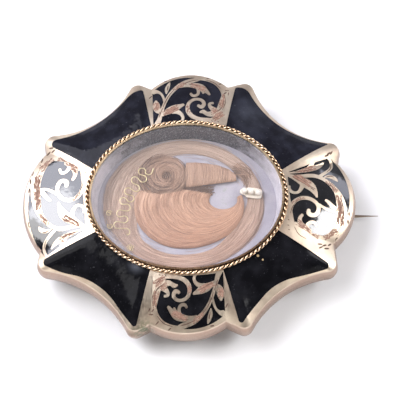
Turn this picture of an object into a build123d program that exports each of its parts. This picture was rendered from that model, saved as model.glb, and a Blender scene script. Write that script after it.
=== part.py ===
from build123d import *
import math
import os

import numpy as np

# Oval locket brooch: a stamped gold case with a domed face of four rounded lobes and four
# concave corners, black enamel in its cells, and an oval glazed well with worked hair.
#
# Lengths are in millimetres. +Z points out of the face, +X runs along the brooch towards the
# pin's point and +Y points up when it is worn. The origin is on the pin's axis, behind the
# middle of the brooch, which lies on its back on the hinge and the catch.

# Case
WIDTH = 44.16
HEIGHT = 36.6
RIM_Z = 5.6
DOME_RISE = 2.4
WALL_DEPTH = 3.6
WALL_SWELL = 0.32
WALL_SHEET = 0.65
FACE_SHEET = 1.0
BACK_SHEET = 0.5
TIP_RADIUS = 1.2

# Enamel cells
CELL_DEPTH = 0.42
ENAMEL_SINK = 0.02
ENAMEL_FIT = 0.02
PANEL_UNDER = 0.3
SCROLL_WIDTH = 0.5
CELL_START = 0.12
SMALLEST_POOL = 0.3

# Oval border: the centre line of the twisted wire
OVAL_WIDTH = 26.62
OVAL_HEIGHT = 21.24
OVAL_X = -0.25
OVAL_Y = 0.1
ROPE_DIAMETER = 0.56
BEAD_PITCH = 0.72
SEAT_GAP = 0.02

# Bezel and glass
BEZEL_WALL = 0.15
BEZEL_DEPTH = 0.8
BEZEL_RISE = 0.72
BEZEL_LIP = 0.1
LIP_DEPTH = 0.2
GLASS_THICKNESS = 0.55
GLASS_BEVEL = 0.22

# Well: a pale sloping liner and the opaline plate at its bottom
WELL_DEPTH = 2.85
LINER_WALL = 0.2
LINER_TOP = 0.12
LINER_SLOPE = 0.62
LEDGE = 0.5
BACKING_THICKNESS = 0.6

# Hair, pearls and fine gold wire in the well
RING_WIDTH = 21.2
RING_DEPTH = 18.0
RING_BAND = 1.75
RING_SHIFT = -0.35
RING_HEIGHT = 0.34
RING_ROUND = 0.11
WHORL_RADIUS = 2.7
WHORL_BAND = 2.3
WHORL_HEIGHT = 0.8
PEARL_DIAMETER = 0.86
BINDING_WIDTH = 3.0
BINDING_DEPTH = 1.45
BINDING_HEIGHT = 0.26
BINDING_ROUND = 0.48
WIRE_DIAMETER = 0.2
LOOP_RADIUS = 0.5
LOOP_OFFSET = 0.38
LOOP_PITCH = 0.8
CURL_RADIUS = 0.3
CURL_START = 20
CURL_SWEEP = 270
PETALS = 5
PETAL_SHARE = 0.55
TRIM_GAP = 0.04

# Pin, hinge and catch
PIN_DIAMETER = 0.64
PIN_OVERHANG = 3.5
PIN_TAPER = 5.5
PIN_POINT = 0.08
HINGE_INSET = 5.6
CATCH_INSET = 5.4
FOOT_DROP = 1.05
LUG_WIDTH = 0.9
EYE_WIDTH = 1.2
EYE_RADIUS = 0.8
RIVET_DIAMETER = 0.7
RIVET_FIT = 0.05
LUG_GAP = 0.08
CATCH_WIDTH = 1.7
CATCH_ROOM = 0.24
CATCH_LIP = 0.35

# Worked out from the sizes above
HALF_W = WIDTH / 2
HALF_H = HEIGHT / 2
OVAL_A = OVAL_WIDTH / 2
OVAL_B = OVAL_HEIGHT / 2
ROPE_RADIUS = ROPE_DIAMETER / 2
BACK_Z = RIM_Z - WALL_DEPTH
CROWN_Z = RIM_Z + DOME_RISE
PIN_RADIUS = PIN_DIAMETER / 2
HINGE_X = HINGE_INSET - HALF_W
CATCH_X = HALF_W - CATCH_INSET
FORM_STOCK = RIM_Z - BACK_Z

# Ovals of the bezel, the glass and the liner, as growth from the wire's centre line
BEZEL_OUT = -ROPE_RADIUS - SEAT_GAP / 2
BEZEL_IN = BEZEL_OUT - BEZEL_WALL
GLASS_OUT = BEZEL_IN - SEAT_GAP
LINER_IN = GLASS_OUT - LINER_WALL
FLOOR_OUT = LINER_IN - LINER_SLOPE
FLOOR_A = OVAL_A + FLOOR_OUT
FLOOR_B = OVAL_B + FLOOR_OUT
LINER_Z = CROWN_Z + LINER_TOP
FLOOR_Z = CROWN_Z - WELL_DEPTH

# The face's outline, clockwise from the upper left, as shares of the half width and half
# height. Each lobe runs from one sharp cusp over its crest to the next, and its two roots
# say where its ribs meet the oval, in degrees round it. Each corner runs from a rounded tip
# through its hollow to the next tip. The work is by hand, so no two are quite alike.
LOBES = {
    "north": dict(start=(-0.231, 0.899), crest=(0.009, 1.013), end=(0.238, 0.912),
                  roots=(109.4, 68.1), drawing="upright", turn=1),
    "east": dict(start=(0.897, 0.314), crest=(1.0, 0.0), end=(0.872, -0.309),
                 roots=(18.3, -24.6), drawing="level", turn=1),
    "south": dict(start=(0.222, -0.894), crest=(0.005, -0.986), end=(-0.231, -0.915),
                  roots=(-71.2, -109.0), drawing="upright", turn=-1),
    "west": dict(start=(-0.894, -0.35), crest=(-1.0, 0.033), end=(-0.867, 0.399),
                 roots=(-155.4, -203.4), drawing="level", turn=-1),
}
CORNERS = {
    "ne": dict(start=(0.378, 0.954), hollow=(0.552, 0.626), end=(0.922, 0.467)),
    "se": dict(start=(0.894, -0.516), hollow=(0.543, -0.677), end=(0.356, -0.97)),
    "sw": dict(start=(-0.349, -0.989), hollow=(-0.543, -0.675), end=(-0.919, -0.5)),
    "nw": dict(start=(-0.885, 0.536), hollow=(-0.55, 0.648), end=(-0.34, 0.954)),
}

# Outer edge of each plain enamel panel, as shares of the half width and half height: a tip, a
# join, the middle of the hollow, a join and a tip. Then the radii of its two tips, and where
# its ribs meet the oval, in degrees. The inner ends lie under the twisted wire.
PANELS = {
    "ne": dict(edge=[(0.285, 0.908), (0.375, 0.85), (0.478, 0.68), (0.634, 0.546), (0.856, 0.459)],
               tips=(0.35, 0.12), roots=(67.0, 20.3)),
    "se": dict(edge=[(0.877, -0.495), (0.634, -0.578), (0.537, -0.629), (0.453, -0.716), (0.31, -0.943)],
               tips=(0.5, 0.4), roots=(-25.4, -69.0)),
    "sw": dict(edge=[(-0.32, -0.962), (-0.44, -0.768), (-0.566, -0.617), (-0.71, -0.543),
                     (-0.91, -0.448)],
               tips=(0.37, 0.55), roots=(-111.0, -154.0)),
    "nw": dict(edge=[(-0.888, 0.484), (-0.634, 0.578), (-0.505, 0.684), (-0.389, 0.82), (-0.283, 0.888)],
               tips=(0.65, 0.35), roots=(-201.8, -249.2)),
}

# How far each level of the face has moved in from the rim to the oval, and how far it has risen
FACE_LEVELS = [
    dict(inwards=0.0, rise=0.0),
    dict(inwards=0.5, rise=0.68),
    dict(inwards=1.0, rise=1.0),
]
# How deep each level of the side wall lies, and its share of the swell
WALL_LEVELS = [
    dict(depth=1.0, swell=0.3),
    dict(depth=0.62, swell=1.0),
    dict(depth=0.22, swell=0.75),
    dict(depth=0.0, swell=0.0),
]

# Reserved gold scrolls. Each row is one stroke: points across and out along the lobe, and the
# widths there in scroll widths. The upper lobe is drawn 10 wide and 8 long from the oval
# outwards, the right one 11.4 wide and 9 long. The lower and left lobes are the same designs
# turned half round.
UPRIGHT_SCROLLS = [
    dict(name="stem", at=[(-4.2, 0.0), (-3.75, 1.4), (-3.45, 2.6), (-3.1, 3.6), (-2.6, 4.6), (-1.9, 5.55),
                          (-1.0, 6.35), (0.1, 6.85), (1.2, 7.2)],
         widths=[1.5, 1.0, 0.9, 0.9, 0.95, 1.1, 1.3, 1.5, 1.2]),
    dict(name="great curl", at=[(0.8, 7.25), (2.2, 7.2), (3.45, 6.75), (4.35, 5.8), (4.75, 4.6), (4.7, 3.4),
                                (4.3, 2.4), (3.6, 1.7), (2.8, 1.45), (2.1, 1.65)],
         widths=[0.8, 0.95, 1.2, 1.3, 1.3, 1.3, 1.5, 1.9, 1.5, 0.8]),
    dict(name="curl lobe", at=[(3.6, 2.1), (2.95, 2.55), (2.8, 3.0), (3.2, 3.2)],
         widths=[1.6, 1.1, 0.8, 0.75]),
    dict(name="curl knob", at=[(2.3, 1.6), (1.85, 1.85), (1.6, 1.75)], widths=[1.0, 1.1, 0.6]),
    dict(name="inner leaf", at=[(-1.1, 5.9), (-0.2, 6.1), (0.7, 6.1), (1.6, 5.8), (2.2, 5.3), (2.75, 4.65)],
         widths=[0.7, 1.1, 1.7, 2.1, 1.5, 0.7]),
    dict(name="leaf lobe", at=[(1.5, 5.7), (1.85, 5.2), (1.95, 4.85)], widths=[1.3, 1.0, 0.6]),
    dict(name="leaf hook", at=[(1.05, 5.8), (1.3, 5.1), (1.15, 4.55), (0.7, 4.35), (0.3, 4.65)],
         widths=[1.0, 0.85, 0.8, 0.85, 0.75]),
    dict(name="lower spiral", at=[(3.4, 0.55), (1.9, 0.65), (0.75, 0.95), (0.0, 1.7), (-0.15, 2.6),
                                  (0.2, 3.4), (0.95, 3.8), (1.7, 3.65), (2.05, 3.05), (1.75, 2.6),
                                  (1.35, 2.75)],
         widths=[1.0, 1.0, 1.15, 1.2, 1.05, 0.9, 0.85, 0.9, 1.0, 1.15, 0.9]),
    dict(name="root fill", at=[(2.9, 0.5), (3.9, 0.9), (4.7, 1.9)], widths=[1.0, 1.9, 1.5]),
    dict(name="side leaf", at=[(-3.75, 1.2), (-3.0, 1.75), (-2.2, 2.2), (-1.5, 2.55), (-0.75, 2.9)],
         widths=[0.7, 1.6, 2.2, 1.7, 0.7]),
    dict(name="side leaf tail", at=[(-2.0, 1.9), (-1.3, 1.7), (-0.85, 1.2), (-0.85, 0.5)],
         widths=[1.7, 1.2, 0.85, 0.8]),
    dict(name="left leaf", at=[(-3.8, 1.7), (-4.25, 2.3), (-4.4, 3.0), (-4.45, 3.6)],
         widths=[0.8, 1.9, 1.9, 0.7]),
    dict(name="thin leaf", at=[(-3.25, 3.3), (-3.45, 4.2), (-3.9, 5.0), (-4.6, 5.3)],
         widths=[0.5, 0.65, 0.7, 1.6]),
    dict(name="bud", at=[(-3.05, 4.85), (-3.0, 5.5), (-2.8, 6.2), (-2.62, 6.7)],
         widths=[0.3, 1.05, 1.0, 0.35]),
]
LEVEL_SCROLLS = [
    dict(name="stem", at=[(3.4, -0.2), (3.2, 2.4), (3.3, 3.9), (2.95, 4.95), (2.15, 6.05), (1.1, 6.85),
                          (-0.1, 7.25), (-1.5, 7.45), (-3.0, 7.15), (-4.2, 6.5), (-5.05, 5.5),
                          (-5.35, 4.2), (-5.05, 2.9), (-4.45, 1.9), (-3.6, 1.2)],
         widths=[0.9, 1.0, 1.1, 1.0, 1.15, 1.7, 2.4, 2.5, 2.3, 2.0, 1.6, 1.5, 1.7, 1.7, 1.0]),
    dict(name="upper leaf", at=[(3.5, -0.1), (3.85, 1.9), (4.3, 3.2), (4.7, 4.2), (5.35, 4.95)],
         widths=[0.7, 0.9, 1.5, 1.3, 0.5]),
    dict(name="upper leaf lobe", at=[(4.4, 3.1), (5.0, 3.45), (5.6, 3.75)], widths=[1.2, 1.0, 0.8]),
    dict(name="outer branch", at=[(3.4, 4.6), (4.1, 5.45), (4.9, 6.05), (5.6, 6.05), (6.3, 5.6)],
         widths=[0.9, 0.8, 0.8, 0.75, 0.9]),
    dict(name="sprig", at=[(3.25, 5.1), (3.4, 5.8), (3.25, 6.4), (2.85, 6.85)],
         widths=[0.3, 0.95, 1.05, 0.35]),
    dict(name="root leaf", at=[(3.35, -0.1), (2.7, 1.4), (2.25, 2.4), (1.7, 3.3), (1.0, 3.8), (0.35, 4.05)],
         widths=[0.9, 1.5, 2.5, 2.4, 1.5, 0.6]),
    dict(name="root curl", at=[(2.2, 2.2), (1.3, 1.95), (0.75, 1.4), (0.8, 0.8), (1.45, 0.35)],
         widths=[1.6, 1.0, 0.75, 0.8, 1.1]),
    dict(name="spiral", at=[(-3.4, 0.3), (-2.0, 0.45), (-0.8, 0.85), (-0.1, 1.7), (0.05, 2.7), (-0.25, 3.6),
                            (-0.9, 4.2), (-1.75, 4.2), (-2.3, 3.6), (-2.1, 3.0), (-1.7, 2.95)],
         widths=[1.4, 1.1, 1.05, 1.0, 1.0, 1.0, 1.0, 1.05, 1.1, 1.25, 1.0]),
    dict(name="inner leaf", at=[(-4.5, 2.9), (-3.9, 2.1), (-3.2, 1.75), (-2.4, 2.05)],
         widths=[1.7, 1.6, 1.2, 0.8]),
    dict(name="inner leaf lobe", at=[(-4.3, 2.7), (-3.5, 2.9), (-3.25, 3.5), (-3.7, 3.95)],
         widths=[1.1, 0.9, 0.85, 0.8]),
    dict(name="outer curl", at=[(-1.3, 7.1), (-1.0, 6.3), (-0.45, 5.75), (-0.1, 5.3)],
         widths=[1.3, 1.2, 1.0, 0.7]),
    dict(name="outer curl tail", at=[(-1.5, 6.9), (-1.45, 5.8), (-1.1, 4.9), (-0.8, 4.4)],
         widths=[0.8, 0.7, 0.75, 0.7]),
    dict(name="root band", at=[(-5.3, 0.4), (-4.5, 0.5), (-3.0, 0.35)], widths=[2.0, 1.6, 1.0]),
    dict(name="foot fill", at=[(-5.6, 1.2), (-5.9, 3.4), (-5.9, 5.6)], widths=[1.6, 1.4, 1.6]),
]
DRAWINGS = {
    "upright": dict(half=5.17, length=7.95, scrolls=UPRIGHT_SCROLLS,
                    inner=[(-4.75, -0.05), (-0.6, 0.42), (3.2, 0.3)],
                    outer=[(4.75, 5.7), (0.0, 7.5), (-5.0, 5.4)]),
    "level": dict(half=5.72, length=8.98, scrolls=LEVEL_SCROLLS,
                  inner=[(-4.3, 1.2), (0.0, 0.5), (3.6, 0.15)],
                  outer=[(6.3, 5.9), (0.0, 8.45), (-5.2, 6.2)]),
}

# Worked hair. Sections along each piece as shares of the well's half width and half height:
# place, half breadth as a share of the half height, and half thickness in millimetres.
LOCK = [
    dict(at=(-0.62, -0.18), breadth=0.2, thickness=0.28),
    dict(at=(-0.48, -0.24), breadth=0.33, thickness=0.4),
    dict(at=(-0.2, -0.27), breadth=0.375, thickness=0.46),
    dict(at=(0.08, -0.27), breadth=0.37, thickness=0.46),
    dict(at=(0.32, -0.28), breadth=0.27, thickness=0.42),
    dict(at=(0.5, -0.2), breadth=0.17, thickness=0.36),
    dict(at=(0.6, -0.04), breadth=0.09, thickness=0.3),
    dict(at=(0.625, 0.04), breadth=0.06, thickness=0.24),
]
ROLL = [
    dict(at=(0.01, 0.43), breadth=0.19, thickness=0.44),
    dict(at=(0.2, 0.44), breadth=0.175, thickness=0.44),
    dict(at=(0.38, 0.44), breadth=0.14, thickness=0.4),
    dict(at=(0.47, 0.42), breadth=0.1, thickness=0.32),
    dict(at=(0.545, 0.375), breadth=0.045, thickness=0.24),
]
WHORL_AT = (-0.23, 0.418)

# Three small pearls on a gold binding where the lock ends, and the run of the serpentine gold
# wire, all as shares of the well's half width and half height
PEARLS = [(0.64, 0.165), (0.715, 0.15), (0.79, 0.135)]
SERPENTINE = [(-0.34, 0.51), (-0.43, 0.49), (-0.5, 0.42), (-0.58, 0.28), (-0.65, 0.11), (-0.7, -0.06),
              (-0.72, -0.22), (-0.72, -0.4), (-0.67, -0.54)]
CURLS = {"gold_curl_1": (-0.87, -0.15), "gold_curl_2": (-0.855, -0.34)}
KNOT_AT = (-0.63, -0.67)

# Section of the twisted wire: where each corner stands round it, and how far it reaches as a
# share of the radius. Each half turn takes this number of steps.
ROPE_SECTION = [
    dict(angle=0, reach=1.0),
    dict(angle=48, reach=0.76),
    dict(angle=132, reach=0.76),
    dict(angle=180, reach=1.0),
    dict(angle=228, reach=0.76),
    dict(angle=312, reach=0.76),
]
ROPE_STEPS = 4


def on_face(share):
    """a point of the outline from its shares"""
    return (share[0] * HALF_W, share[1] * HALF_H)


def on_oval(degrees, grow=0.0):
    """a point of the oval, grown outwards"""
    angle = math.radians(degrees)
    return (OVAL_X + (OVAL_A + grow) * math.cos(angle), OVAL_Y + (OVAL_B + grow) * math.sin(angle))


def in_well(share):
    """a point on the bottom of the well"""
    return (OVAL_X + share[0] * FLOOR_A, OVAL_Y + share[1] * FLOOR_B)


def rim_edges():
    """start, middle and end of each edge of the front outline, with its tips rounded"""
    names = list(LOBES)
    with BuildSketch() as front:
        with BuildLine():
            for lobe, corner, following in zip(names, CORNERS, names[1:] + names[:1]):
                ThreePointArc(*[on_face(LOBES[lobe][key]) for key in ("start", "crest", "end")])
                first, hollow, last = [on_face(CORNERS[corner][key]) for key in ("start", "hollow", "end")]
                Line(on_face(LOBES[lobe]["end"]), first)
                ThreePointArc(first, hollow, last)
                Line(last, on_face(LOBES[following]["start"]))
        make_face()
        tips = [Vector(*on_face(corner[key])) for corner in CORNERS.values() for key in ("start", "end")]
        sharp = [v for v in front.vertices() if min((Vector(v) - tip).length for tip in tips) < 0.001]
        fillet(sharp, TIP_RADIUS)
    edges = front.face().outer_wire().order_edges()
    return [[(point.X, point.Y) for point in (edge @ 0, edge @ 0.5, edge @ 1)] for edge in edges]


RIM = rim_edges()


def bearing(point):
    """degrees round the face, with the height stretched to the width"""
    return math.degrees(math.atan2(point[1] / HALF_H, point[0] / HALF_W))


def oval_angle(point):
    """where on the oval a point of the rim runs in to, so that the ribs meet their roots"""
    cusps = sorted((bearing(on_face(lobe[key])), (root + 180) % 360 - 180)
                   for lobe in LOBES.values() for key, root in zip(("start", "end"), lobe["roots"]))
    seen = [angle for angle, _ in cusps]
    roots = [root for _, root in cusps]
    seen = [seen[-1] - 360] + seen + [seen[0] + 360]
    roots = [roots[-1] - 360] + roots + [roots[0] + 360]
    return float(np.interp(bearing(point), seen, roots))


def face_point(point, inwards, grow):
    """a rim point, moved in towards the oval or grown outwards"""
    target = on_oval(oval_angle(point))
    wide = (point[0] * (1 + grow / HALF_W), point[1] * (1 + grow / HALF_H))
    return tuple((1 - inwards) * a + inwards * b for a, b in zip(wide, target))


def is_straight(start, middle, end):
    run = (end[0] - start[0], end[1] - start[1])
    off = (middle[0] - start[0], middle[1] - start[1])
    return abs(run[0] * off[1] - run[1] * off[0]) / math.hypot(*run) < 1e-5


def draw_outline(inwards=0.0, grow=0.0):
    """the outline of the face at one level, as a sketch face"""
    with BuildLine() as loop:
        for edge in RIM:
            start, middle, end = [face_point(point, inwards, grow) for point in edge]
            if is_straight(start, middle, end):
                Line(start, end)
            else:
                ThreePointArc(start, middle, end)
    make_face(loop.edges())


# The domed face as a solid from the rim to the crown, on the body's stock: cells and enamel
# are cut with it
with BuildPart() as face_form:
    for level in FACE_LEVELS:
        with BuildSketch(Plane.XY.offset(RIM_Z + DOME_RISE * level["rise"])):
            draw_outline(inwards=level["inwards"])
    loft()
    with BuildSketch(Plane.XY.offset(RIM_Z - FORM_STOCK)):
        draw_outline()
    extrude(amount=FORM_STOCK)


def face_lowered(drop):
    """the domed face, lowered into the metal"""
    return Pos(0, 0, -drop) * face_form.part


def stroke(points, widths, mode):
    """one scroll stroke: a band of changing width with rounded ends"""
    path = np.array(points)
    run = np.gradient(path, axis=0)
    run /= np.linalg.norm(run, axis=1)[:, None]
    across = np.stack([-run[:, 1], run[:, 0]], axis=1) * np.array(widths)[:, None] / 2
    left = [tuple(point) for point in path + across]
    right = [tuple(point) for point in path - across]
    ahead = tuple(path[-1] + run[-1] * widths[-1] / 2)
    behind = tuple(path[0] - run[0] * widths[0] / 2)
    with BuildLine() as band:
        Spline(*left)
        ThreePointArc(left[-1], ahead, right[-1])
        Spline(*reversed(right))
        ThreePointArc(right[0], behind, left[0])
    make_face(band.edges(), mode=mode)


def lobe_point(name, across, out):
    """a point of a lobe's drawing, put on the face between the oval and the crest"""
    lobe = LOBES[name]
    drawing = DRAWINGS[lobe["drawing"]]
    turn = lobe["turn"]
    half = math.dist(on_face(lobe["start"]), on_face(lobe["end"])) / 2
    side = across * half / drawing["half"]
    crest_x, crest_y = on_face(lobe["crest"])
    if lobe["drawing"] == "upright":
        root = OVAL_Y * turn + OVAL_B - CELL_START
        along = root + out * (turn * crest_y - root) / drawing["length"]
        return (turn * side, turn * along)
    root = OVAL_X * turn + OVAL_A
    along = root + out * (turn * crest_x - root) / drawing["length"]
    return (turn * along, turn * side)


def draw_pools(name, fit=0.0):
    """the black pools of a lobe: its cell without the gold scrolls, drawn smaller by a fit"""
    drawing = DRAWINGS[LOBES[name]["drawing"]]
    inner = [lobe_point(name, *point) for point in drawing["inner"]]
    outer = [lobe_point(name, *point) for point in drawing["outer"]]
    with BuildLine() as cell:
        ThreePointArc(*inner)
        Line(inner[-1], outer[0])
        ThreePointArc(*outer)
        Line(outer[-1], inner[0])
    make_face(cell.edges())
    if fit:
        offset(amount=-fit, kind=Kind.INTERSECTION, mode=Mode.REPLACE)
    for row in drawing["scrolls"]:
        points = [lobe_point(name, *point) for point in row["at"]]
        widths = [width * SCROLL_WIDTH + 2 * fit for width in row["widths"]]
        stroke(points, widths, Mode.SUBTRACT)


def pool_faces(name, fit=0.0):
    """the pools of a lobe that are large enough to hold enamel"""
    with BuildSketch() as pools:
        draw_pools(name, fit)
    return pools.faces().filter_by(lambda face: face.area > SMALLEST_POOL)


def panel_face(name, fit=0.0):
    """a plain corner panel: a hollow outer edge, two straight ribs and an end under the wire"""
    panel = PANELS[name]
    first, last = panel["roots"]
    under = ROPE_RADIUS * PANEL_UNDER
    first_tip, first_join, middle, last_join, last_tip = [on_face(share) for share in panel["edge"]]
    with BuildSketch() as sketch:
        with BuildLine():
            hollow = ThreePointArc(first_join, middle, last_join)
            TangentArc(last_join, last_tip, tangent=hollow % 1)
            TangentArc(first_join, first_tip, tangent=-(hollow % 0))
            Line(last_tip, on_oval(last, under))
            ThreePointArc(on_oval(last, under), on_oval((first + last) / 2, under), on_oval(first, under))
            Line(on_oval(first, under), first_tip)
        make_face()
        for tip, radius in zip((first_tip, last_tip), panel["tips"]):
            corner = sketch.vertices().sort_by_distance(tip)[0]
            fillet(corner, radius)
        if fit:
            offset(amount=-fit, kind=Kind.INTERSECTION, mode=Mode.REPLACE)
    return sketch.faces()


def stand_up(faces):
    """cell or panel faces, extruded right through the domed face"""
    for face in faces:
        with BuildSketch(Plane.XY.offset(RIM_Z - CELL_DEPTH - ENAMEL_FIT)) as base:
            add(face)
        extrude(base.sketch, amount=DOME_RISE + 2 * CELL_DEPTH)


def enamel(name, face):
    """the enamel of one cell or pool: as deep as the cell and a hair below the gold"""
    with BuildPart() as fill:
        stand_up([face])
        add(face_lowered(ENAMEL_SINK), mode=Mode.INTERSECT)
        add(face_lowered(CELL_DEPTH - ENAMEL_FIT), mode=Mode.SUBTRACT)
    fill.part.label = name
    return fill.part


def draw_oval(grow):
    """the oval of the twisted wire's centre line, grown or shrunk"""
    with Locations((OVAL_X, OVAL_Y)):
        Ellipse(OVAL_A + grow, OVAL_B + grow)


# Hollows to take out of the gold: the enamel cells, and the space inside the sheet
with BuildPart() as cells:
    for name in LOBES:
        stand_up(pool_faces(name))
    for name in PANELS:
        stand_up(panel_face(name))
    add(face_lowered(CELL_DEPTH), mode=Mode.SUBTRACT)

with BuildPart() as inside:
    for level in FACE_LEVELS:
        with BuildSketch(Plane.XY.offset(RIM_Z + DOME_RISE * level["rise"] - FACE_SHEET)):
            draw_outline(inwards=level["inwards"], grow=-WALL_SHEET)
    loft()
    with BuildSketch(Plane.XY.offset(BACK_Z + BACK_SHEET)):
        draw_outline(grow=-WALL_SHEET)
    extrude(amount=WALL_DEPTH - FACE_SHEET - BACK_SHEET)
    with BuildSketch(Plane.XY.offset(CROWN_Z - FACE_SHEET)):
        draw_oval(BEZEL_OUT + SEAT_GAP)
    extrude(amount=FACE_SHEET + BEZEL_RISE)

# Gold case: domed face, swelling side wall and flat back, hollow, with the hinge's two lugs and
# rivet and the hooked catch soldered on behind
with BuildPart() as case:
    for level in WALL_LEVELS:
        with BuildSketch(Plane.XY.offset(RIM_Z - WALL_DEPTH * level["depth"])):
            draw_outline(grow=WALL_SWELL * level["swell"])
    loft()
    for level in FACE_LEVELS:
        with BuildSketch(Plane.XY.offset(RIM_Z + DOME_RISE * level["rise"])):
            draw_outline(inwards=level["inwards"])
    loft()
    add(cells.part, mode=Mode.SUBTRACT)
    add(inside.part, mode=Mode.SUBTRACT)
    # hinge lugs, one on each side of the pin's eye
    lug_inside = EYE_WIDTH / 2 + LUG_GAP
    for side in (lug_inside, -lug_inside - LUG_WIDTH):
        with BuildSketch(Plane.XZ.offset(-side)):
            with Locations((HINGE_X, 0)):
                Circle(FOOT_DROP)
            with Locations((HINGE_X, (BACK_Z + BACK_SHEET / 2) / 2)):
                Rectangle(2 * FOOT_DROP, BACK_Z + BACK_SHEET / 2)
        extrude(amount=-LUG_WIDTH)
    with BuildSketch(Plane.XZ.offset(-lug_inside)):
        with Locations((HINGE_X, 0)):
            Circle(RIVET_DIAMETER / 2)
    extrude(amount=2 * lug_inside)
    # catch: a strip bent under the pin, open at one side
    room = PIN_RADIUS + CATCH_ROOM
    with BuildSketch(Plane.YZ.offset(CATCH_X - CATCH_WIDTH / 2)):
        with Locations((0, (BACK_Z + BACK_SHEET / 2 - FOOT_DROP) / 2)):
            Rectangle(2 * FOOT_DROP, BACK_Z + BACK_SHEET / 2 + FOOT_DROP)
        with Locations((0, (BACK_Z - room) / 2)):
            Rectangle(2 * room, BACK_Z + room, mode=Mode.SUBTRACT)
        with Locations((-FOOT_DROP, (BACK_Z + CATCH_LIP) / 2)):
            Rectangle(2 * (FOOT_DROP - room), BACK_Z - CATCH_LIP, mode=Mode.SUBTRACT)
    extrude(amount=CATCH_WIDTH)
case.part.label = "case"

pieces = [case.part]
for name in PANELS:
    pieces.append(enamel(f"enamel_{name}", panel_face(name, ENAMEL_FIT)[0]))
for name in LOBES:
    for number, pool in enumerate(pool_faces(name, ENAMEL_FIT), start=1):
        pieces.append(enamel(f"enamel_{name}_{number}", pool))

# Bezel: a thin oval collar with its edge burnished in over the glass
with BuildPart() as bezel:
    with BuildSketch(Plane.XY.offset(CROWN_Z - BEZEL_DEPTH)):
        draw_oval(BEZEL_OUT)
        with Locations((OVAL_X, OVAL_Y)):
            Ellipse(OVAL_A + BEZEL_IN - BEZEL_LIP, OVAL_B + BEZEL_IN - BEZEL_LIP, mode=Mode.SUBTRACT)
    extrude(amount=BEZEL_DEPTH + BEZEL_RISE)
    with BuildSketch(Plane.XY.offset(CROWN_Z + BEZEL_RISE)):
        draw_oval(BEZEL_IN - BEZEL_LIP)
    with BuildSketch(Plane.XY.offset(CROWN_Z + BEZEL_RISE - LIP_DEPTH)):
        draw_oval(BEZEL_IN)
    loft(mode=Mode.SUBTRACT)
    with BuildSketch(Plane.XY.offset(CROWN_Z - BEZEL_DEPTH)):
        draw_oval(BEZEL_IN)
    extrude(amount=BEZEL_DEPTH + BEZEL_RISE - LIP_DEPTH, mode=Mode.SUBTRACT)
bezel.part.label = "bezel"
pieces.append(bezel.part)

# Twisted wire round the bezel: two strands, as a lobed section that turns as it goes round. An
# even number of half turns closes it.
ROPE_Z = CROWN_Z + SEAT_GAP + ROPE_RADIUS


def rope_faces():
    """the triangles between one ring of the twisted section and the next"""
    with BuildLine() as oval:
        EllipticalCenterArc((OVAL_X, OVAL_Y), OVAL_A, OVAL_B, arc_size=360)
    path = oval.edges()[0]
    half_turns = 2 * round(path.length / (2 * BEAD_PITCH))
    count = half_turns * ROPE_STEPS
    rings = []
    for number in range(count):
        at = path @ (number / count)
        along = path % (number / count)
        twist = 180 * number / ROPE_STEPS
        ring = []
        for row in ROPE_SECTION:
            angle = math.radians(row["angle"] + twist)
            out = ROPE_RADIUS * row["reach"] * math.cos(angle)
            up = ROPE_RADIUS * row["reach"] * math.sin(angle)
            ring.append(Vector(at.X + out * along.Y, at.Y - out * along.X, ROPE_Z + up))
        rings.append(ring)
    faces = []
    for here, there in zip(rings, rings[1:] + rings[:1]):
        for side in range(len(here)):
            low, high = side - 1, side
            faces.append(Face(Wire.make_polygon([here[low], there[low], there[high]])))
            faces.append(Face(Wire.make_polygon([here[low], there[high], here[high]])))
    return faces


with BuildPart() as rope_border:
    add(Solid(Shell(rope_faces())))
rope_border.part.label = "rope_border"
pieces.append(rope_border.part)

# Glass: a flat oval with a narrow bevel
with BuildPart() as glass:
    with BuildSketch(Plane.XY.offset(LINER_Z + SEAT_GAP)):
        draw_oval(GLASS_OUT)
    extrude(amount=GLASS_THICKNESS)
    chamfer(glass.faces().sort_by(Axis.Z)[-1].edges(), GLASS_BEVEL)
glass.part.label = "glass"
pieces.append(glass.part)

# Liner: a pale collar that slopes in to the bottom of the well and stands on the case's back
LINER_FOOT = BACK_Z + BACK_SHEET + SEAT_GAP
with BuildPart() as liner:
    with BuildSketch(Plane.XY.offset(LINER_FOOT)):
        draw_oval(GLASS_OUT)
    extrude(amount=LINER_Z - LINER_FOOT)
    for height, grow in ((FLOOR_Z, FLOOR_OUT), (LINER_Z, LINER_IN)):
        with BuildSketch(Plane.XY.offset(height)):
            draw_oval(grow)
    loft(mode=Mode.SUBTRACT)
    with BuildSketch(Plane.XY.offset(FLOOR_Z - BACKING_THICKNESS)):
        draw_oval(FLOOR_OUT)
    extrude(amount=BACKING_THICKNESS, mode=Mode.SUBTRACT)
    with BuildSketch(Plane.XY.offset(LINER_FOOT)):
        draw_oval(FLOOR_OUT - LEDGE)
    extrude(amount=FLOOR_Z - LINER_FOOT, mode=Mode.SUBTRACT)
liner.part.label = "liner"
pieces.append(liner.part)

# Opaline plate on the liner's ledge
with BuildPart() as backing:
    with BuildSketch(Plane.XY.offset(FLOOR_Z - BACKING_THICKNESS + SEAT_GAP)):
        draw_oval(FLOOR_OUT - SEAT_GAP)
    extrude(amount=BACKING_THICKNESS - SEAT_GAP)
backing.part.label = "backing"
pieces.append(backing.part)

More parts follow.
